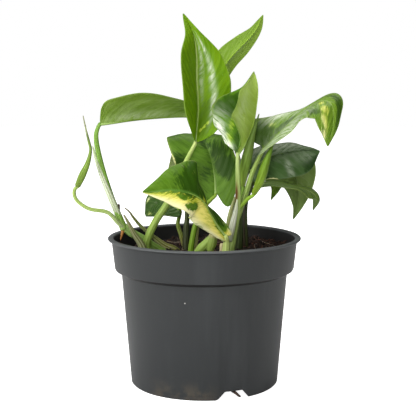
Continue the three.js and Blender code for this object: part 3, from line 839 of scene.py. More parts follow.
speckledStem = {
    "petiole": {
        "path": [(-9, 15, 64), (-12, 17, 79), (-15, 18, 90), (-17, 20, 97), (-15.4, 22, 104.6)],
        "radius": [1.6, 1.6, 1.4, 1.1],
        "joins": "leaf_low_speckled",
        "colours": [(0, "#4a2c16"), (0.3, "#5b3d1e"), (0.5, "#6b6c21"), (1, "#779d29")],
        "stripes": 0.5,
    },
}

# Its colours are painted near-black green: painted shade, as it stands in shadow at the back
backLeftStem = {
    "petiole": {
        "path": [(-8, 6, 64), (-11.4, 7.6, 79), (-11.6, 10, 92), (-11, 13, 103), (-12, 14, 113),
                 (-13.8, 14.4, 120.8)],
        "radius": [2, 2.2, 2, 1.3, 1],
        "joins": "leaf_back_left_small",
        "colours": [(0, "#2b2717"), (0.4, "#2e3519"), (1, "#354718")],
        "stripes": 0.15,
    },
}

centreStem = {
    "petiole": {
        "path": [(-8, -5, 64), (-8.4, -5, 82), (-7, -5, 93), (-5, -4.4, 101), (-0.6, -3.4, 110),
                 (4, -2, 115), (6.6, -0.6, 117.2)],
        "radius": [1.9, 1.9, 1.7, 1.4, 1],
        "joins": "leaf_back",
        "colours": [(0, "#64851e"), (0.6, "#709421"), (1, "#85a137")],
    },
    "sheath": {
        "path": [(-5.8, -3.6, 64), (-5.8, -3.6, 82), (-4.6, -3.4, 93), (-3, -3, 103)],
        "radius": [1.2, 1.2, 1.1, 0.4],
        "flat": 0.6,
        "colours": [(0, "#7d8146"), (1, "#99975a")],
        "stripes": 0.6,
    },
}

cutStem = {
    "stem": {
        "path": [(-10, -14, 64), (-5, -16, 82), (0, -17.4, 89), (4.6, -18.6, 93.4)],
        "radius": [2, 2.2, 2.6, 2.7],
        "colours": [(0, "#6f853b"), (0.6, "#85a344"), (1, "#9ab259")],
        "rings": [0.75],
    },
    "stub": {
        "path": [(3.6, -18.6, 86.6), (5.4, -19, 95.4)],
        "radius": [2.4, 3.2, 2.6],
        "colours": [(0, "#8ca54c"), (0.8, "#9ab259"), (1, "#bcb380")],
    },
    "root": {
        "path": [(4, -18.8, 87.4), (4.6, -19.6, 84), (7, -20.6, 80), (8, -21, 74)],
        "radius": [1.4, 1.2, 0.9, 0.7],
        "colours": [(0, "#d2a482"), (0.5, "#c1856d"), (1, "#90614a")],
        "stripes": 0.4,
    },
}

backTallStem = {
    "petiole": {
        "path": [(16, 24, 64), (17, 24, 80), (20, 23, 105), (22.5, 21, 125), (20.6, 18.4, 143),
                 (11, 14.6, 158), (2.6, 12.4, 166)],
        "radius": [1.7, 1.6, 1.3, 1.1],
        "joins": "leaf_tall_back",
        "colours": [(0, "#4d651c"), (0.6, "#5a7a1e"), (1, "#67891f")],
    },
}

frontStem = {
    "petiole": {
        "path": [(12, -26, 64), (13, -28, 80), (13.2, -28.8, 88), (13.4, -29.4, 93.2)],
        "radius": [2.6, 2.7, 2.6, 1.7],
        "joins": "leaf_front_variegated",
        "colours": [(0, "#a6bd64"), (0.5, "#b4cb73"), (1, "#c0cf7a")],
        "groove": 0,
    },
    "sheath": {
        "path": [(9.4, -23.6, 64), (10.2, -25.2, 82), (10.6, -26, 91)],
        "radius": [1.4, 1.4, 1.2],
        "flat": 0.7,
        "colours": [(0, "#d1b191"), (0.5, "#ddc5a2"), (1, "#dccda2")],
        "stripes": 0.5,
    },
}

rightStem = {
    "petiole": {
        "path": [(14, -13, 64), (16, -14, 82), (18, -14, 94), (20, -14.4, 107), (20.6, -15, 117),
                 (20.4, -16, 129), (20.2, -17, 138), (20.2, -17.8, 144.2)],
        "radius": [2.4, 2.3, 2.2, 2, 1.6, 1.2],
        "joins": "leaf_folded",
        "colours": [(0, "#6d8937"), (0.4, "#93a95c"), (0.8, "#9fb568"), (1, "#b0c37c")],
        "groove": 0,
        "brown": [(0.64, 0.7, 0.09, 0.07, 1.2), (0.61, 0.66, 0.07, 0.09, 1)],
    },
    "longPetiole": {
        "path": [(19, -13.6, 101), (23, -12.6, 113), (26, -13, 122), (29, -13, 132), (33, -13.6, 141.6),
                 (35.4, -14, 146)],
        "radius": [1.6, 1.9, 1.8, 1.5, 1.1],
        "joins": "leaf_right_drooping",
        "colours": [(0, "#8da354"), (0.5, "#849e4c"), (1, "#91aa50")],
        "stripes": 0.3,
        "groove": 0,
    },
    "youngPetiole": {
        "path": [(21, -14.4, 111), (26, -16.6, 117), (29.4, -17.8, 119.6)],
        "radius": [1.2, 1.1],
        "joins": "young_leaf_right",
        "colours": [(0, "#84a33b"), (1, "#8ab230")],
    },
    "backYoungPetiole": {
        "path": [(19.6, -12, 106), (22.6, -9, 117), (23.8, -8.2, 123.4)],
        "radius": [1.3, 1.1],
        "joins": "young_leaf_back",
        "colours": [(0, "#7d9b3e"), (1, "#729934")],
    },
    "whiteSheath": {
        "path": [(15.6, -16, 92), (17, -17.4, 101), (19, -17.4, 110), (20, -16.6, 117)],
        "radius": [1.6, 1.9, 1.4, 0.5],
        "flat": 0.6,
        "colours": [(0, "#c4cbb0"), (0.5, "#dfe3d2"), (1, "#c6cfae")],
        "stripes": 0.25,
    },
    "greenSheath": {
        "path": [(15.4, -12.6, 92), (15, -11.8, 101), (16.4, -11.6, 110), (18.6, -12, 118)],
        "radius": [1.4, 1.7, 1.3, 0.4],
        "flat": 0.6,
        "colours": [(0, "#919b62"), (0.5, "#a7ae74"), (1, "#b2b57e")],
        "stripes": 0.5,
    },
}

darkStem = {
    "stem": {
        "path": [(21, 1, 64), (21.4, 0.4, 81), (22, 0, 93), (22.4, -0.4, 105), (23.2, 1.4, 118),
                 (25.4, 4.4, 127), (27.2, 6, 131.4)],
        "radius": [2.4, 2.4, 2.2, 1.7, 1.2, 1.1],
        "joins": "leaf_right_dark",
        "colours": [(0, "#212c10"), (0.5, "#2c3b15"), (1, "#3c4c1c")],
    },
}

backRightStem = {
    "stem": {
        "path": [(26.4, 10, 64), (26.2, 12.6, 79), (25.6, 13.4, 97), (26.4, 15.6, 113),
                 (32.4, 20, 126), (41, 26.4, 135), (49.4, 30, 138.4)],
        "radius": [2, 2, 1.8, 1.6, 1.2, 1.1],
        "joins": "leaf_right_hanging",
        "colours": [(0, "#2b2f15"), (0.5, "#3a471e"), (1, "#485a21")],
    },
    "levelPetiole": {
        "path": [(25.8, 14, 105), (26.8, 15, 113), (29.4, 17.4, 118.6), (33.2, 19, 120.4)],
        "radius": [1.4, 1.2, 1],
        "joins": "leaf_right_level",
        "colours": [(0, "#2c3719"), (1, "#435121")],
    },
    "smallPetiole": {
        "path": [(32.4, 20, 126), (36, 27, 130), (40.9, 39.2, 132.3)],
        "radius": [1.1, 1, 0.9],
        "joins": "leaf_right_small",
        "colours": [(0, "#2c3719"), (1, "#37461c")],
    },
}

brownStem = {
    "stalk": {
        "path": [(23.6, 6.6, 64), (24.4, 7.4, 80), (24.2, 8.2, 98), (24.6, 9.2, 109)],
        "radius": [1.6, 1.6, 1.3, 1],
        "colours": [(0, "#1f160e"), (0.5, "#2f2217"), (1, "#392d1d")],
        "stripes": 0.5,
    },
}

stalkForm = {
    "sides": 20, "rowLength": 1.5, "leastRows": 16, "leastRadius": 0.12,
    "domeAngles": (90, 60, 30), "domeHeight": 0.7,      # both ends are rounded
    "unevenness": 0.03, "ringSwell": 0.14, "ringReach": 1.1, "grooveDepth": 0.2, "grooveAngle": 26,
    "stripes": 0.16, "shadeColour": "#9a9c62", "paleColour": "#dfe2bc", "speckColour": "#5b6a32",
    "brownColour": "#5c2f16", "shine": 0.3,
}

sheenColour = "#f0f3d2"      # the plant's shine is a little yellow


def stalkGrainGroup():
    # Lengthways fibres and specks, laid round a rod so that they meet at its seam
    group, entry, leave = newGroup("stalkGrain", {"Surface": "Vector", "Length": "Float"},
                                   ["Streak", "Speck"])
    around, along = place(group, "SeparateXYZ", {0: entry["Surface"]}).outputs[:2]
    angle = times(group, around, 2 * math.pi)
    ring = place(group, "CombineXYZ", {
        0: times(group, compute(group, "COSINE", angle), 2.2),
        1: times(group, compute(group, "SINE", angle), 2.2),
        2: times(group, along, entry["Length"]),
    }).outputs[0]
    feed(group, leave["Streak"], grain(group, ring, 1.6, 4, 0.6, stretch=(1, 1, 0.06)))
    feed(group, leave["Speck"], grain(group, ring, 2.6, 3, 0.6, stretch=(1, 1, 0.6)))
    return group


stalkGrain = stalkGrainGroup()


def stalkSkin(name, limb):
    material, tree = newMaterial(name)
    surface = surfaceUV(tree)
    sockets = {"Surface": surface, "Length": lengthOf(limb["path"]) / 3}
    fibres = place(tree, "Group", sockets, node_tree=stalkGrain).outputs
    streak, speck = fibres["Streak"], fibres["Speck"]
    stripes = limb.get("stripes", stalkForm["stripes"])
    tone = ramped(tree, place(tree, "SeparateXYZ", {0: surface}).outputs[1], limb["colours"])
    shade = darkened(tree, tone, stalkForm["shadeColour"])
    tone = tint(tree, fade(tree, streak, 0.4, 0.62, 0, 0.35 + stripes * 0.6), tone, shade)
    paler = tint(tree, 0.35, tone, stalkForm["paleColour"])
    tone = tint(tree, fade(tree, streak, 0.52, 0.3, 0, stripes), tone, paler)
    tone = tint(tree, fade(tree, speck, 0.66, 0.74, 0, 0.35), tone, stalkForm["speckColour"])
    brown = times(tree, mask(tree, "brown"), fade(tree, streak, 0.25, 0.5, 0.6, 1))
    dress(tree, {
        "Base Color": tint(tree, brown, tone, stalkForm["brownColour"]),
        "Roughness": fade(tree, speck, 0.3, 0.7, 0.36 + stripes * 0.3, 0.5),
        "Specular IOR Level": stalkForm["shine"],
        "Specular Tint": sheenColour,
        "Normal": relief(tree, streak, 0.25 + stripes * 0.6, 0.3),
    })
    return material


def leafStart(node):
    # Where a blade or a rolled leaf leaves its petiole
    return blades[node][0]["rib"][0] if node in blades else youngLeaves[node]["path"][0]


def limbRod(name, limb, sides=stalkForm["sides"]):
    path = list(limb["path"])
    if "joins" in limb:
        path.append(leafStart(limb["joins"]))
    steps = max(stalkForm["leastRows"], int(lengthOf(path) / stalkForm["rowLength"]))
    along = spaced(path, steps)
    # Each row has its share of the path, the end whose dome it belongs to, and its angle there
    dome = [math.radians(angle) for angle in stalkForm["domeAngles"]]
    rows = [(0.0, -1, angle) for angle in dome]
    rows += [(k / steps, 0, 0.0) for k in range(steps + 1)]
    rows += [(1.0, 1, angle) for angle in reversed(dome)]

    def shape(column, row):
        reach, end, angle = rows[row]
        t = along[round(reach * steps)]
        way = wayOn(path, t)
        across, through = crosswise(way)
        around = 2 * math.pi * column / sides
        size = max(keyed(limb["radius"], reach), stalkForm["leastRadius"])
        lump = noise.noise(Vector((math.cos(around), math.sin(around), reach * steps * 0.25)))
        swell = 1 + stalkForm["unevenness"] * lump
        for ring in limb.get("rings", []):
            away = (reach - ring) * steps / stalkForm["ringReach"]
            swell += stalkForm["ringSwell"] * math.exp(-away ** 2)
        if "groove" in limb:
            turn = (math.degrees(around) - limb["groove"] + 180) % 360 - 180
            swell -= stalkForm["grooveDepth"] * math.exp(-(turn / stalkForm["grooveAngle"]) ** 2)
        side = across * math.cos(around) + through * math.sin(around) * limb.get("flat", 1)
        centre = pointOn(path, t) + way * (end * size * stalkForm["domeHeight"] * math.sin(angle))
        return centre + side * (size * swell * math.cos(angle)), (column / sides, reach)

    rod, places = newSheet(name, sides, len(rows) - 1, shape)
    paint(rod, places, "brown", limb.get("brown", []))
    weld(rod)
    rod.data.materials.append(stalkSkin(name + "_skin", limb))
    bpy.ops.object.shade_smooth()
    return rod


# node: [limbs, material slot]
stalks = {
    "stem_left": [leftStem, "petiole_green"],
    "sheath_left": [leftSheath, "old_sheath"],
    "stem_left_old": [leftOldStem, "old_sheath"],
    "stem_tall": [tallStem, "petiole_green"],
    "stem_speckled": [speckledStem, "petiole_green"],
    "stem_back_left": [backLeftStem, "petiole_dark"],
    "stem_centre": [centreStem, "petiole_green"],
    "stem_cut": [cutStem, "petiole_green"],
    "stem_tall_back": [backTallStem, "petiole_green"],
    "stem_front": [frontStem, "petiole_green"],
    "stem_right": [rightStem, "petiole_green"],
    "stem_dark": [darkStem, "petiole_dark"],
    "stem_back_right": [backRightStem, "petiole_dark"],
    "stem_brown": [brownStem, "old_sheath"],
}

# Leaf blades

# The rib runs from the petiole to the tip, and face gives the way that the upper side looks along
# it. Each half has its widths, and its lifts from the flat in degrees, evenly spaced from base to
# tip. Lobe and sweep slide the base and the margin back, and wave ripples the margin.
# Cream, deep, island and pale are patches: variegated, darker as painted shade, green within the
# cream, and a painted whitish sheen that stands for highlights. Each patch is u, v, reach in u, reach
# in v and strength, with u going from margin to margin across the rib at 0.5, and v from base to tip.
# Gloss is the upper side's roughness and shine its reflection. VeinShow, ribShow, the painted sheen's
# strength, flecks and blotches say how strongly each shows. Fuzz is half the width of the cream's soft
# border, and whiten pales the cream towards the margin. Veins and lean give the side veins' number
# and slant.

tallLeaf = {
    "rib": [(-5.4, -6, 151), (-4, -8, 171), (-4.8, -9, 189), (-4.9, -9, 204), (-6.8, -7.6, 217),
            (-12.8, -4, 228.6)],
    "face": [(0, -1, 0.1), (0, -1, 0)],
    "right": {"width": [12, 19, 21, 15, 4.2, 0.3], "lift": [20, 5, -4, -4, 0, 0], "lobe": -7},
    "left": {"width": [6, 15, 16, 15.5, 7, 0.3], "lift": [65, 60, 58, 54, 48, 30], "lobe": -6},
    "upper": {"base": "#588005", "light": "#72960c", "deep": "#4f7105", "cream": "#a9b84a",
              "yellow": "#90aa20", "rib": "#b7c97c", "edge": "#9db45c"},
    "under": {"base": "#7c9a38"},
    "gloss": 0.42, "shine": 0.16, "ribShow": 0.7,
    "deep": [(0.2, 0.5, 0.3, 0.7, 0.4), (0.66, 0.13, 0.12, 0.12, 0.9)],
    "cream": [(0.6, 0.075, 0.04, 0.014, 0.8), (0.66, 0.095, 0.04, 0.014, 0.8),
              (0.71, 0.12, 0.03, 0.016, 0.75), (0.9, 0.42, 0.02, 0.08, 0.45)],
    "pale": [(0.7, 0.65, 0.022, 0.09, 1), (0.73, 0.45, 0.03, 0.1, 1), (0.75, 0.25, 0.03, 0.09, 1),
             (0.59, 0.58, 0.02, 0.14, 0.6), (0.57, 0.4, 0.02, 0.1, 0.5)],
    "veins": 13, "lean": 0.3,
}

tallBackLeaf = {
    "rib": [(1, 12, 168.2), (7.4, 16, 187.4), (14.8, 19, 200.4), (23.6, 20, 210), (31.6, 19, 218.8),
            (36.6, 17, 228.8)],
    "face": [(0, 1, 0.1), (0, 1, 0)],
    "right": {"width": [6, 13, 15.6, 12, 6, 0.3], "lift": [57, 57, 57, 55, 55, 40]},
    "left": {"width": [6, 11, 12, 11, 6.6, 0.3], "lift": [57, 57, 57, 55, 55, 40]},
    "upper": {"base": "#54820c", "light": "#749f1a", "deep": "#3d6a0c"},
    "under": {"base": "#87ac2b", "deep": "#5f7e1c"},
    "gloss": 0.35,
    "deep": [(0.85, 0.5, 0.4, 1.5, 1)],
    "veins": 12, "lean": 0.3,
}

archedLeaf = {
    "rib": [(-63, -12, 162.6), (-56, -11, 163.4), (-42, -7, 165), (-24, 0, 166), (-10, 4, 166),
            (2, 6, 164.6)],
    "face": [(0, 0, 1), (0, 0, 1)],
    "right": {"width": [9.5, 15.6, 16.4, 15, 9.6, 0.3], "lift": [72, 72, 72, 68, 60, 40], "lobe": -1.6},
    "left": {"width": [9, 15, 15, 13, 8, 0.3], "lift": [50, 50, 45, 40, 35, 30], "lobe": -1.6},
    "upper": {"base": "#54820c", "light": "#749f1a", "deep": "#3d6a0c"},
    "under": {"base": "#668424", "deep": "#49651b"},
    "gloss": 0.35, "veinShow": 0.1, "blotches": 0.3,
    "deep": [(0.8, 0.85, 0.5, 0.3, 0.9), (0.7, 0.5, 0.12, 0.3, 0.5)],
    "pale": [(0.56, 0.4, 0.06, 0.22, 0.5)],
    "veins": 12, "lean": 0.3,
}

foldedLeaf = {
    "rib": [(20.2, -18, 145), (25, -15.6, 152), (29, -14, 162), (31, -13.6, 173), (32, -13.4, 184),
            (30, -13, 194)],
    "face": [(-1, 0, 0.2), (-1, 0, 0)],
    "right": {"width": [9, 19, 23, 22, 14, 0.3], "lift": [5, 20, 35, 35, 45, 50], "lobe": -3},
    "left": {"width": [11, 21, 26, 24.4, 12, 0.3], "lift": [70, 86, 94, 97, 88, 80], "lobe": -2},
    "upper": {"base": "#416a04", "light": "#588009", "deep": "#2b4d02", "rib": "#5f8420",
              "yellow": "#7d9c1e", "cream": "#a2b53c"},
    "under": {"base": "#a5c253", "line": "#c3cf74"},
    "gloss": 0.4, "shine": 0.2,
    "deep": [(0.42, 0.2, 0.1, 0.3, 0.9), (0.3, 0.6, 0.3, 0.15, 1)],
    "sheenShow": 1.0, "fuzz": 0.2,
    "cream": [(0.22, 0.12, 0.07, 0.14, 0.7), (0.26, 0.32, 0.05, 0.12, 0.6), (0.68, 0.45, 0.02, 0.22, 0.6)],
    "pale": [(0.03, 0.07, 0.07, 0.07, 1.3), (0.08, 0.2, 0.07, 0.1, 1.3), (0.16, 0.02, 0.12, 0.045, 1.3),
             (0.02, 0.3, 0.05, 0.07, 0.9), (0.1, 0.45, 0.08, 0.07, 0.3), (0.8, 0.55, 0.1, 0.25, 0.6)],
    "veins": 11, "lean": 0.25,
}

droopingLeaf = {
    "rib": [(36, -14, 147.4), (44.4, -16, 155.8), (53, -19, 165), (61.6, -23, 172.8), (69.4, -28, 177),
            (74.6, -34, 174.4), (75, -38, 163), (71.7, -40, 151)],
    "face": [(-0.7, -0.05, 0.7), (-0.6, 0, 0.8), (-0.3, -0.15, 0.9), (0.2, -0.95, 0.3),
             (0.25, -1, 0.1)],
    "right": {"width": [8, 15, 15, 15.4, 10, 0.3], "lift": [0, -8, -16, -10, 0, 0],
              "sweep": [0, 0, 0, 2, 4, 3.7, 1, -5.5, -6.5, -3.5, 0]},
    "left": {"width": [24, 14.5, 8.6, 10.8, 4.8, 0.3], "lift": [60, 40, 4, -10, -10, 0],
             "sweep": [-4, 0, 0, 0, 0, 0]},
    "upper": {"base": "#4f7014", "light": "#6c8a22", "deep": "#345010", "cream": "#c9c66c",
              "yellow": "#94a432", "rib": "#86a04a"},
    "under": {"base": "#8ba560"},
    "gloss": 0.4, "shine": 0.2, "fuzz": 0.16,
    "deep": [(0.3, 0.06, 0.2, 0.08, 1.2), (0.42, 0.22, 0.06, 0.1, 0.9), (0.85, 0.62, 0.08, 0.12, 0.8),
             (0.2, 0.75, 0.14, 0.16, 0.8)],
    "cream": [(0.24, 0.17, 0.06, 0.04, 0.55), (0.6, 0.6, 0.08, 0.04, 0.7), (0.7, 0.72, 0.1, 0.08, 0.75),
              (0.8, 0.82, 0.08, 0.08, 0.8), (0.92, 0.9, 0.08, 0.05, 0.75)],
    "pale": [(0.08, 0.22, 0.12, 0.08, 0.9), (0.3, 0.33, 0.12, 0.09, 0.4), (0.05, 0.38, 0.08, 0.13, 0.5),
             (0.82, 0.2, 0.25, 0.25, 0.6)],
    "veins": 14, "lean": 0.25,
}

darkLeaf = {
    "rib": [(28, 6, 132), (38, 4, 140), (51, 6, 144), (63, 10, 145), (72.6, 14, 144)],
    "face": [(0, -0.8, 0.6), (0, -0.8, 0.6)],
    "right": {"width": [8, 14, 18, 18, 13, 0.3], "lift": [0, -5, -5, 0, 0, 0]},
    "left": {"width": [10, 10, 7.5, 5, 2.5, 0.3], "lift": [50, 50, 50, 50, 50, 40]},
    "lobe": 1.5,
    "upper": {"base": "#304c20", "light": "#476236", "deep": "#203914", "rib": "#3f5a30", "edge": "#5c7048"},
    "under": {"base": "#516a32"},
    "gloss": 0.36, "veinShow": 0.06, "ribShow": 0.2, "shine": 0.2,
    "cream": [(1, 0.2, 0.035, 0.09, 1)],
    "deep": [(0.9, 0.8, 0.15, 0.15, 0.8)],
    "pale": [(0.12, 0.42, 0.14, 0.3, 0.6), (0.3, 0.5, 0.2, 0.3, 0.3), (0.78, 0.46, 0.08, 0.03, 0.4),
             (0.9, 0.46, 0.08, 0.03, 0.4), (0.7, 0.75, 0.1, 0.12, 0.2)],
    "veins": 10, "lean": 0.2,
}

levelLeaf = {
    "rib": [(35, 20, 122), (45, 20, 123.4), (55, 20, 122), (63.5, 20, 119.4), (68.6, 19.5, 117),
            (71.4, 19, 113), (69.2, 18, 106)],
    "face": [(0, 0, 1), (0, 0, 1), (0.3, -0.3, 0.9), (1, -0.6, 0.2)],
    "right": {"width": [8, 12, 13, 11, 6, 0.3], "lift": [-6, -6, -5, 0, 0, 0]},
    "left": {"width": [8, 12, 13, 11, 5, 0.3], "lift": [0, 0, -6, -10, 0, 0]},
    "upper": {"base": "#4a6527", "light": "#677b36", "deep": "#37511d", "rib": "#a3ae6c"},
    "under": {"base": "#54702c"},
    "gloss": 0.4,
    "veins": 10, "lean": 0.25,
}

hangingLeaf = {
    "rib": [(51, 30, 138), (57, 35, 131), (60.6, 37, 120), (60.6, 36, 108), (58, 34, 98)],
    "face": [(0.3, 0.6, 0.7), (0, 1, 0.2), (0, 1, 0)],
    "right": {"width": [8, 15, 14, 9, 4, 0.3], "lift": [20, 15, 10, 10, 10, 0]},
    "left": {"width": [8, 14, 12, 7, 2.6, 0.3], "lift": [20, 15, 10, 10, 10, 0]},
    "upper": {"base": "#507a2a", "light": "#64833a", "deep": "#3c5a22"},
    "under": {"base": "#647d3a"},
    "gloss": 0.4,
    "veins": 10, "lean": 0.25,
}

smallRightLeaf = {
    "rib": [(42, 42, 133), (47, 46, 125), (47, 46, 117), (44, 44, 109.6)],
    "face": [(0, -0.8, 0.5), (0, -1, 0)],
    "right": {"width": [6, 9, 8, 4, 2, 0.3], "lift": [0, 0, 0]},
    "left": {"width": [6, 9, 8, 4, 2, 0.3], "lift": [0, 0, 0]},
    "wave": 0.4,
    "upper": {"base": "#517016", "light": "#607f20", "deep": "#3d5a13"},
    "under": {"base": "#53681f"},
    "gloss": 0.4,
    "veins": 7, "lean": 0.25,
}

frontLeaf = {
    "rib": [(12.9, -30.9, 96.6), (8, -33, 103), (3.3, -36, 111.4), (-0.4, -39, 118.4),
            (-5.7, -43, 122.7), (-12.6, -47, 125.3), (-20.8, -50, 126.4), (-28.3, -52.5, 126),
            (-35.1, -55, 125.7)],
    "face": [(0.4, -0.8, 0.3), (0.1, -0.8, 0.5), (0, -0.8, 0.6)],
    "right": {"width": [5, 8.4, 13, 19, 22, 22, 17, 9.8, 0.3],
              "lift": [0, -30, -66, -46, -4, 0, 0, 0, 0], "sweep": [0, -2, -5, -6, -1, 5, 7, 5.5, 0]},
    "left": {"width": [3.4, 6.6, 11.6, 13, 13, 11.4, 8.8, 4.8, 0.3],
             "lift": [-10, -10, -10, -10, -10, -10, -5, 0, 0]},
    "lobe": 2,
    "upper": {"base": "#476b12", "light": "#5f8325", "deep": "#284706", "cream": "#ece278",
              "yellow": "#a8b02a", "rib": "#5f8a34"},
    "under": {"base": "#93ad4c"},
    "gloss": 0.42, "shine": 0.14, "fuzz": 0.12, "whiten": 0.55, "flecks": 0.18,
    "deep": [(0.72, 0.44, 0.32, 0.2, 1.2), (0.8, 0.15, 0.2, 0.06, 1), (0.45, 0.12, 0.06, 0.05, 0.8)],
    "cream": [(0.1, 0.62, 0.28, 0.42, 1), (0.28, 0.3, 0.25, 0.2, 1), (0.2, 0.12, 0.22, 0.12, 1),
              (0.75, 0.02, 0.25, 0.035, 0.9), (0.9, 0.09, 0.1, 0.05, 0.5)],
    "island": [(0.2, 0.51, 0.09, 0.05, 1), (0.27, 0.46, 0.08, 0.045, 1), (0.14, 0.57, 0.06, 0.03, 0.9),
               (0.34, 0.62, 0.07, 0.05, 0.9)],
    "veins": 13, "lean": 0.2,
}

backLeaf = {
    "rib": [(7, 1, 118), (6.4, 2, 130), (4, 4, 141), (0, 8, 150), (-3, 16, 154), (-6, 24, 153),
            (-8, 31, 150)],
    "face": [(0, -1, 0), (0, -0.8, 0.5), (0, -0.1, 1), (0, 0.3, 1)],
    "right": {"width": [11, 15, 15, 14, 13, 8, 0.3], "lift": [0, 0, 5, 5, 0, 0, 0]},
    "left": {"width": [13, 21, 23, 24, 21, 11, 0.3], "lift": [0, 0, 5, 5, 0, 0, 0]},
    "lobe": 8,
    "upper": {"base": "#486b19", "light": "#62862b", "deep": "#26430d", "rib": "#52762a"},
    "under": {"base": "#5c7a30"},
    "gloss": 0.45, "veinShow": 0.12, "ribShow": 0.2,
    "deep": [(0.74, 0.24, 0.22, 0.08, 1), (0.7, 0.36, 0.25, 0.14, 0.6), (0.05, 0.34, 0.12, 0.1, 1),
             (0.5, 0.5, 0.1, 0.14, 0.6), (0.4, 0.2, 0.14, 0.12, 0.5)],
    "cream": [(0, 0.42, 0.02, 0.05, 1)],
    "veins": 11, "lean": 0.3,
}

smallLeftLeaf = {
    "rib": [(-14.2, 15, 122), (-16.4, 17, 130), (-18.6, 20, 136), (-20.4, 23, 141.6)],
    "face": [(-0.3, -0.8, 0.5), (-0.3, -0.8, 0.5)],
    "right": {"width": [5, 7, 5.6, 4, 2, 0.3], "lift": [0, 0, 0]},
    "left": {"width": [5, 7, 6.6, 5, 3, 0.3], "lift": [0, 0, 0]},
    "wave": 0.4,
    "upper": {"base": "#627038", "light": "#788858", "deep": "#44562a"},
    "under": {"base": "#55693a"},
    "gloss": 0.4,
    "veins": 7, "lean": 0.25,
}

speckledLeaf = {
    "rib": [(-16.6, 20.6, 106.4), (-23, 24, 109), (-31, 29, 108.2), (-38.8, 33, 101.4)],
    "face": [(0, -0.8, 0.6), (0, -0.8, 0.6)],
    "right": {"width": [8, 12, 13.4, 12.4, 8.6, 0.3], "lift": [0, 0, 0]},
    "left": {"width": [6, 9, 9.6, 9, 7.2, 2], "lift": [0, 0, 0]},
    "wave": 0.4,
    "upper": {"base": "#2b4717", "light": "#3c5a22", "deep": "#1d340d", "cream": "#c6c88c",
              "yellow": "#8c9c4c", "rib": "#33501e"},
    "under": {"base": "#45602c"},
    "gloss": 0.35,
    "cream": [(0.85, 0.8, 0.06, 0.05, 0.7), (0.25, 0.9, 0.2, 0.07, 0.55), (0.55, 0.3, 0.2, 0.04, 0.4)],
    "flecks": 0.7,
    "veins": 9, "lean": 0.3,
}

# node: [blade, material slot]
blades = {
    "leaf_tall": [tallLeaf, "leaf_upper"],
    "leaf_tall_back": [tallBackLeaf, "leaf_underside"],
    "leaf_left_arched": [archedLeaf, "leaf_underside"],
    "leaf_folded": [foldedLeaf, "leaf_upper"],
    "leaf_right_drooping": [droopingLeaf, "leaf_variegated"],
    "leaf_right_dark": [darkLeaf, "leaf_upper"],
    "leaf_right_level": [levelLeaf, "leaf_upper"],
    "leaf_right_hanging": [hangingLeaf, "leaf_underside"],
    "leaf_right_small": [smallRightLeaf, "leaf_upper"],
    "leaf_front_variegated": [frontLeaf, "leaf_variegated"],
    "leaf_back": [backLeaf, "leaf_underside"],
    "leaf_back_left_small": [smallLeftLeaf, "leaf_upper"],
    "leaf_low_speckled": [speckledLeaf, "leaf_variegated"],
}

bladeForm = {
    "rows": 76, "columns": 34, "thickness": 0.5, "arch": 26, "ripples": 2.5, "tipWidth": 0.12,
    "lobeReach": 0.3, "lobeStart": 0.1, "sway": 0.45,
    "grooveDepth": 0.35, "grooveWidth": 1.1, "quilt": 0.16, "veinCurve": 1.25,
    "ribSides": 12, "ribPoints": 9, "ribEnd": 0.96, "ribRadius": (0.95, 0.18), "ribFoot": "#a3c070",
}

# What a blade has where its own dictionary doesn't say
commonBlade = {
    "lobe": 4, "wave": 0.8, "veinShow": 0.2, "ribShow": 0.5, "fuzz": 0.08, "flecks": 0.0,
    "whiten": 0.3, "shine": 0.26, "sheenShow": 0.75, "blotches": 0.2,
}
commonUpper = {"cream": "#e9e396", "yellow": "#a9b42c", "rib": "#7f9c3c", "edge": "#8f9f50"}
commonUnder = {"line": "#c9cc80"}


def bladeSection(leaf, t):
    along = wayOn(leaf["rib"], t)
    up = pointOn(leaf["face"], t)
    up = (up - along * up.dot(along)).normalized()
    return {"t": t, "centre": pointOn(leaf["rib"], t), "along": along, "up": up, "out": along.cross(up)}


def slideBack(leaf, half, t, s):
    # How far the lobe at the base and the margin's sweep move a point back along the rib
    lobe = half.get("lobe", leaf["lobe"])
    start = bladeForm["lobeStart"]
    outline = math.sin(0.8 * math.pi * max(0, s - start) / (1 - start)) if lobe > 0 else s ** 1.5
    fading = max(0, 1 - t / bladeForm["lobeReach"]) ** 2
    return fading * lobe * outline + keyed(half.get("sweep", [0, 0]), t) * s * s


def onBlade(leaf, section, side, s):
    # A point of the blade, s of the way from the rib to the margin on one side
    t, up, out = section["t"], section["up"], section["out"]
    half = leaf["right"] if side > 0 else leaf["left"]
    width = max(keyed(half["width"], t), bladeForm["tipWidth"])
    bend = math.radians(-bladeForm["arch"])
    start = math.radians(keyed(half["lift"], t)) - bend / 2
    end = start + bend * s
    reach = width * (math.sin(end) - math.sin(start)) / bend
    rise = width * (math.cos(start) - math.cos(end)) / bend
    waves = math.sin(math.pi * t) * math.sin(2 * math.pi * bladeForm["ripples"] * t + side)
    rise += leaf["wave"] * s * s * waves
    slide = slideBack(leaf, half, t, s)
    point = section["centre"] + out * (side * reach) + up * rise - section["along"] * slide
    facing = up * math.cos(end) - out * (side * math.sin(end))
    groove = bladeForm["grooveDepth"] * math.exp(-(s * width / bladeForm["grooveWidth"]) ** 2) * (1 - t)
    phase = (t - leaf["lean"] * s ** bladeForm["veinCurve"]) * leaf["veins"] + (0.5 if side > 0 else 0)
    swell = (0.5 - 0.5 * math.cos(2 * math.pi * phase)) * min(1, s * 5) * (1 - s ** 3)
    sway = noise.noise(Vector((side * s * 2.2, t * 4.5, leaf["veins"] * 3.7)))
    sway *= bladeForm["sway"] * min(1, s * 3) * math.sin(math.pi * t)
    return point + facing * (bladeForm["quilt"] * swell - groove + sway)


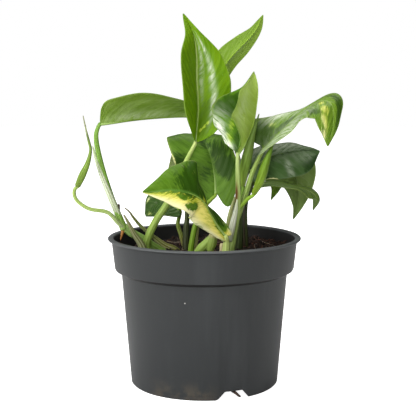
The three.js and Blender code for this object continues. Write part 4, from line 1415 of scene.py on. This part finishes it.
def leafVeinsGroup():
    # Veins that leave the rib on both sides and lean towards the tip, and streaks that follow them
    group, entry, leave = newGroup(
        "leafVeins", {"Surface": "Vector", "Count": "Float", "Lean": "Float"},
        ["Vein", "Fine", "Rib", "Outer", "Margin", "Panel", "Streak", "Blotch", "Mottle"])
    parts = place(group, "SeparateXYZ", {0: entry["Surface"]}).outputs
    across = scaled(group, parts[0], 2, -1)
    s = compute(group, "ABSOLUTE", across)
    right = compute(group, "GREATER_THAN", across, 0)
    lean = times(group, compute(group, "POWER", s, bladeForm["veinCurve"]), entry["Lean"])
    level = compute(group, "SUBTRACT", parts[1], lean)
    wander = grain(group, entry["Surface"], 4, 2)
    level = compute(group, "ADD", level, scaled(group, wander, 0.03, -0.015))
    phase = scaled(group, right, 0.5, times(group, level, entry["Count"]))

    def fromMiddle(value):
        # 0 in the middle of each period and 0.5 at its ends
        fraction = compute(group, "FRACT", value)
        return compute(group, "ABSOLUTE", compute(group, "SUBTRACT", fraction, 0.5))

    away = fromMiddle(phase)
    fine = fade(group, fromMiddle(times(group, phase, 4)), 0.3, 0.5)
    lanes = place(group, "CombineXYZ", {0: s, 1: phase, 2: times(group, right, 5)}).outputs[0]
    for name, value in {
        "Vein": times(group, fade(group, away, 0.41, 0.5), fade(group, s, 0.7, 0.98, 1, 0)),
        "Fine": times(group, fine, fade(group, wander, 0.3, 0.6)),
        "Panel": scaled(group, away, -2, 1),
        "Rib": fade(group, s, 0.02, 0.075, 1, 0),
        "Outer": fade(group, s, 0.45, 0.98),
        "Margin": fade(group, s, 0.93, 0.99),
        "Streak": grain(group, lanes, 1.5, 5, 0.62, stretch=(1.3, 1.1, 1)),
        "Blotch": grain(group, lanes, 0.8, 4, 0.6, stretch=(2.2, 0.6, 1)),
        "Mottle": grain(group, lanes, 2.6, 6, 0.68, stretch=(1.6, 1, 1)),
    }.items():
        feed(group, leave[name], value)
    return group


leafVeins = leafVeinsGroup()


def bladeVeins(tree, leaf):
    sockets = {"Surface": surfaceUV(tree), "Count": leaf["veins"], "Lean": leaf["lean"]}
    return place(tree, "Group", sockets, node_tree=leafVeins).outputs


def variegation(tree, veins, name, low, high):
    # A painted mask whose border breaks up into streaks and specks between the veins
    broken = compute(tree, "ADD", scaled(tree, veins["Mottle"], 1.3, -0.65),
                     scaled(tree, veins["Streak"], 0.7, -0.35))
    return fade(tree, compute(tree, "ADD", mask(tree, name), broken), low, high)


def paintedSheen(tree, veins, tone, white, strength):
    # A painted whitish sheen standing for highlights, laid where the pale mask is, broken up by its veins
    sheen = fade(tree, scaled(tree, veins["Panel"], 0.12, veins["Mottle"]), 0.42, 0.62, 0.12, 1)
    return tint(tree, times(tree, sheen, mask(tree, "pale"), strength), tone, white)


def creamParts(tree, veins, leaf, look):
    # Where the cream and its flecks are, and their colour from yellow at the border to white
    middle, fuzz = 0.48, leaf["fuzz"]
    cream = variegation(tree, veins, "cream", middle - fuzz, middle + fuzz)
    clear = fade(tree, variegation(tree, veins, "island", 0.3, 0.6), 0, 1, 1, 0)
    flecks = fade(tree, veins["Mottle"], 0.6, 0.68, 0, leaf["flecks"])
    tone = tint(tree, variegation(tree, veins, "cream", 0.42, 1.04), look["yellow"], look["cream"])
    tone = tint(tree, times(tree, veins["Outer"], leaf["whiten"]), tone, "#f6f2d8")
    return compute(tree, "MAXIMUM", times(tree, cream, clear), flecks), tone


def upperSkin(name, leaf):
    material, tree = newMaterial(name)
    look = {**commonUpper, **leaf["upper"]}
    veins = bladeVeins(tree, leaf)
    streak = veins["Streak"]
    cream, creamTone = creamParts(tree, veins, leaf, look)
    tone = look["base"]
    for amount, over in (
        (fade(tree, streak, 0.35, 0.68, 0, 0.7), look["light"]),
        (fade(tree, veins["Blotch"], 0.55, 0.75, 0, 0.4), look["deep"]),
        (fade(tree, veins["Fine"], 0, 1, 0, 0.12), look["light"]),
        (times(tree, veins["Vein"], leaf["veinShow"]), look["light"]),
        # The deep patches are painted shade
        (variegation(tree, veins, "deep", 0.25, 0.6), look["deep"]),
        (cream, creamTone),
        (times(tree, veins["Rib"], leaf["ribShow"]), look["rib"]),
        (times(tree, veins["Margin"], 0.35), look["edge"]),
    ):
        tone = tint(tree, amount, tone, over)
    cells = grain(tree, objectSpace(tree), 1500, 2)
    bumps = scaled(tree, cells, 0.1, scaled(tree, veins["Fine"], -0.3, veins["Panel"]))
    dress(tree, {
        # The pale patches are painted sheen: a painted highlight in the base colour
        "Base Color": paintedSheen(tree, veins, tone, "#e4ead6", leaf["sheenShow"]),
        "Roughness": fade(tree, streak, 0.25, 0.75, leaf["gloss"] - 0.06, leaf["gloss"] + 0.1),
        "Specular IOR Level": leaf["shine"],
        "Specular Tint": sheenColour,
        "Normal": relief(tree, bumps, 0.35, 0.35),
    })
    return material


def underSkin(name, leaf):
    material, tree = newMaterial(name)
    look = {**commonUnder, **leaf["under"]}
    base = look["base"]
    veins = bladeVeins(tree, leaf)
    darker = darkened(tree, base, "#c4c68c")
    paler = tint(tree, 0.25, base, "#dfe8b8")
    tone = base
    for amount, over in (
        (fade(tree, veins["Streak"], 0.3, 0.7, 0, 0.4), darker),
        # The deep patches are painted shade
        (mask(tree, "deep"), look.get("deep", darker)),
        (fade(tree, veins["Blotch"], 0.4, 0.65, 0, leaf["blotches"]), paler),
        (times(tree, veins["Fine"], 0.15), darker),
        (times(tree, veins["Vein"], leaf["veinShow"]), paler),
        (times(tree, variegation(tree, veins, "cream", 0.4, 0.6), 0.8), look["line"]),
        (times(tree, veins["Margin"], 0.3), "#9cae62"),
    ):
        tone = tint(tree, amount, tone, over)
    cells = grain(tree, objectSpace(tree), 1200, 2)
    ridges = scaled(tree, veins["Fine"], 0.3, veins["Vein"])
    dress(tree, {
        # The pale patches are painted sheen on the underside too: a painted highlight in the base colour
        "Base Color": paintedSheen(tree, veins, tone, "#d3dbbc", 0.45),
        "Roughness": fade(tree, cells, 0.2, 0.8, 0.48, 0.6),
        "Specular IOR Level": 0.22,
        "Specular Tint": sheenColour,
        "Normal": relief(tree, ridges, 0.2, 0.3),
    })
    return material


def thicken(sheet, thickness, **settings):
    # Gives a sheet its thickness and smooths it
    finishWith(sheet, "SOLIDIFY", thickness=thickness * mm, **settings)
    finishWith(sheet, "SUBSURF", levels=1, render_levels=1)
    bpy.ops.object.shade_smooth()
    return sheet


def bladeSheet(name, leaf):
    rows, columns = bladeForm["rows"], bladeForm["columns"]
    sections = [bladeSection(leaf, j / rows) for j in range(rows + 1)]

    def shape(column, row):
        across = 2 * column / columns - 1
        side = 1 if across >= 0 else -1
        s = abs(across) ** 1.25      # columns lie closer together beside the rib
        return onBlade(leaf, sections[row], side, s), (0.5 + side * s / 2, row / rows)

    sheet, places = newSheet(name, columns, rows, shape)
    # Deep is painted shade and pale a painted sheen; cream and island are the leaf's own variegation
    for maskName in ("cream", "deep", "island", "pale"):
        paint(sheet, places, maskName, leaf.get(maskName, []))
    sheet.data.materials.append(upperSkin(name + "_upper", leaf))
    sheet.data.materials.append(underSkin(name + "_under", leaf))
    return thicken(sheet, bladeForm["thickness"], offset=0, material_offset=1, use_quality_normals=True)


def midrib(name, leaf):
    # The rib stands out under the blade and thins towards the tip
    wide, thin = bladeForm["ribRadius"]
    last = bladeForm["ribPoints"] - 1
    path = []
    for k in range(last + 1):
        section = bladeSection(leaf, bladeForm["ribEnd"] * k / last)
        sunk = 0.35 * (wide + (thin - wide) * k / last) + 0.1
        path.append(section["centre"] - section["up"] * sunk)
    tone = leaf["under"]["base"]
    limb = {"path": path, "radius": [wide, 0.72 * wide, 0.5 * wide, 0.36 * wide, thin],
            "colours": [(0, bladeForm["ribFoot"]), (0.3, tone), (1, tone)]}
    return limbRod(name, limb, bladeForm["ribSides"])


# Rolled young leaves

# Each is a sheet rolled round itself that tapers to a point

youngLeftLeaf = {
    "path": [(-76.2, -21, 125.3), (-72.6, -21, 133), (-69.6, -21, 139.7), (-67.9, -21, 147.2),
             (-68.8, -21, 152.2), (-70.3, -21, 158.6), (-72.2, -21, 168)],
    "radius": [2, 2.5, 1.8, 1.1, 0.9, 0.6, 0.25],
    "colours": [(0, "#718a3c"), (0.3, "#7d9a3f"), (0.6, "#768f45"), (0.72, "#6c7f48"), (0.8, "#a6ae8c"),
                (1, "#8b8c62")],
}

youngRightLeaf = {
    "path": [(29.8, -17.9, 120.2), (34, -19, 129), (37, -20, 139), (41.4, -21, 152)],
    "radius": [1.7, 3.2, 2.4, 0.3],
    "colours": [(0, "#7b952b"), (0.6, "#668721"), (1, "#53771e")],
}

youngBackLeaf = {
    "path": [(23.4, -8, 124.2), (24.6, -9.6, 134), (26.8, -14.6, 146), (29.6, -18.6, 158),
             (32.8, -20, 169)],
    "radius": [1.6, 3.6, 3.3, 1.7, 0.3],
    "colours": [(0, "#86a043"), (0.35, "#6d8a37"), (0.6, "#6f8744"), (1, "#4f6a2a")],
}

youngLeaves = {
    "young_leaf_left": youngLeftLeaf,
    "young_leaf_right": youngRightLeaf,
    "young_leaf_back": youngBackLeaf,
}

rollForm = {
    "rows": 60, "columns": 44, "turns": 1.3, "start": 0.6, "twist": 0.9, "tighten": 0.26, "mouth": 0.85,
    "leastRadius": 0.15, "thickness": 0.3,
    "shadeColour": "#b4b878", "seamColour": "#b9c878", "shine": 0.25,
}


def rolledSkin(name, leaf):
    material, tree = newMaterial(name)
    surface = surfaceUV(tree)
    parts = place(tree, "SeparateXYZ", {0: surface}).outputs
    fibres = grain(tree, surface, 3, 4, 0.6, stretch=(6, 0.8, 1))
    tone = ramped(tree, parts[1], leaf["colours"])
    shade = darkened(tree, tone, rollForm["shadeColour"])
    tone = tint(tree, fade(tree, fibres, 0.38, 0.62, 0, 0.7), tone, shade)
    dress(tree, {
        "Base Color": tint(tree, fade(tree, parts[0], 0.0, 0.05, 0.6, 0), tone, rollForm["seamColour"]),
        "Roughness": fade(tree, fibres, 0.3, 0.7, 0.38, 0.5),
        "Specular IOR Level": rollForm["shine"],
        "Specular Tint": sheenColour,
        "Normal": relief(tree, fibres, 0.25, 0.3),
    })
    return material


def rolledLeaf(name, leaf):
    rows, columns = rollForm["rows"], rollForm["columns"]
    along = spaced(leaf["path"], rows)

    def shape(column, row):
        wound, reach = column / columns, row / rows
        across, through = crosswise(wayOn(leaf["path"], along[row]))
        angle = 2 * math.pi * rollForm["turns"] * wound + rollForm["start"] + reach * rollForm["twist"]
        size = max(keyed(leaf["radius"], reach), rollForm["leastRadius"]) * (1 - rollForm["tighten"] * wound)
        size *= 1 if row else rollForm["mouth"]
        side = across * math.cos(angle) + through * math.sin(angle)
        return pointOn(leaf["path"], along[row]) + side * size, (wound, reach)

    sheet = newSheet(name, columns, rows, shape)[0]
    sheet.data.materials.append(rolledSkin(name + "_skin", leaf))
    return thicken(sheet, rollForm["thickness"], offset=-1)


for node, (ownLeaf, slot) in blades.items():
    leaf = {**commonBlade, **ownLeaf}
    blade = bladeSheet(node.replace("leaf", "blade"), leaf)
    rib = midrib(node.replace("leaf", "rib"), leaf)
    settle(joinAll([blade, rib], node.replace("leaf", "blade")), [], [node], slot)
print("blades made")

for node, leaf in youngLeaves.items():
    settle(rolledLeaf(node.replace("leaf", "roll"), leaf), [], [node], "leaf_young")
print("young leaves made")

for node, (limbs, slot) in stalks.items():
    rods = [limbRod(node + "_" + part, limb) for part, limb in limbs.items()]
    settle(joinAll(rods, node.replace("stem", "stalk").replace("sheath", "husk")), [], [node], slot)
print("stalks made")

print("pothos done")
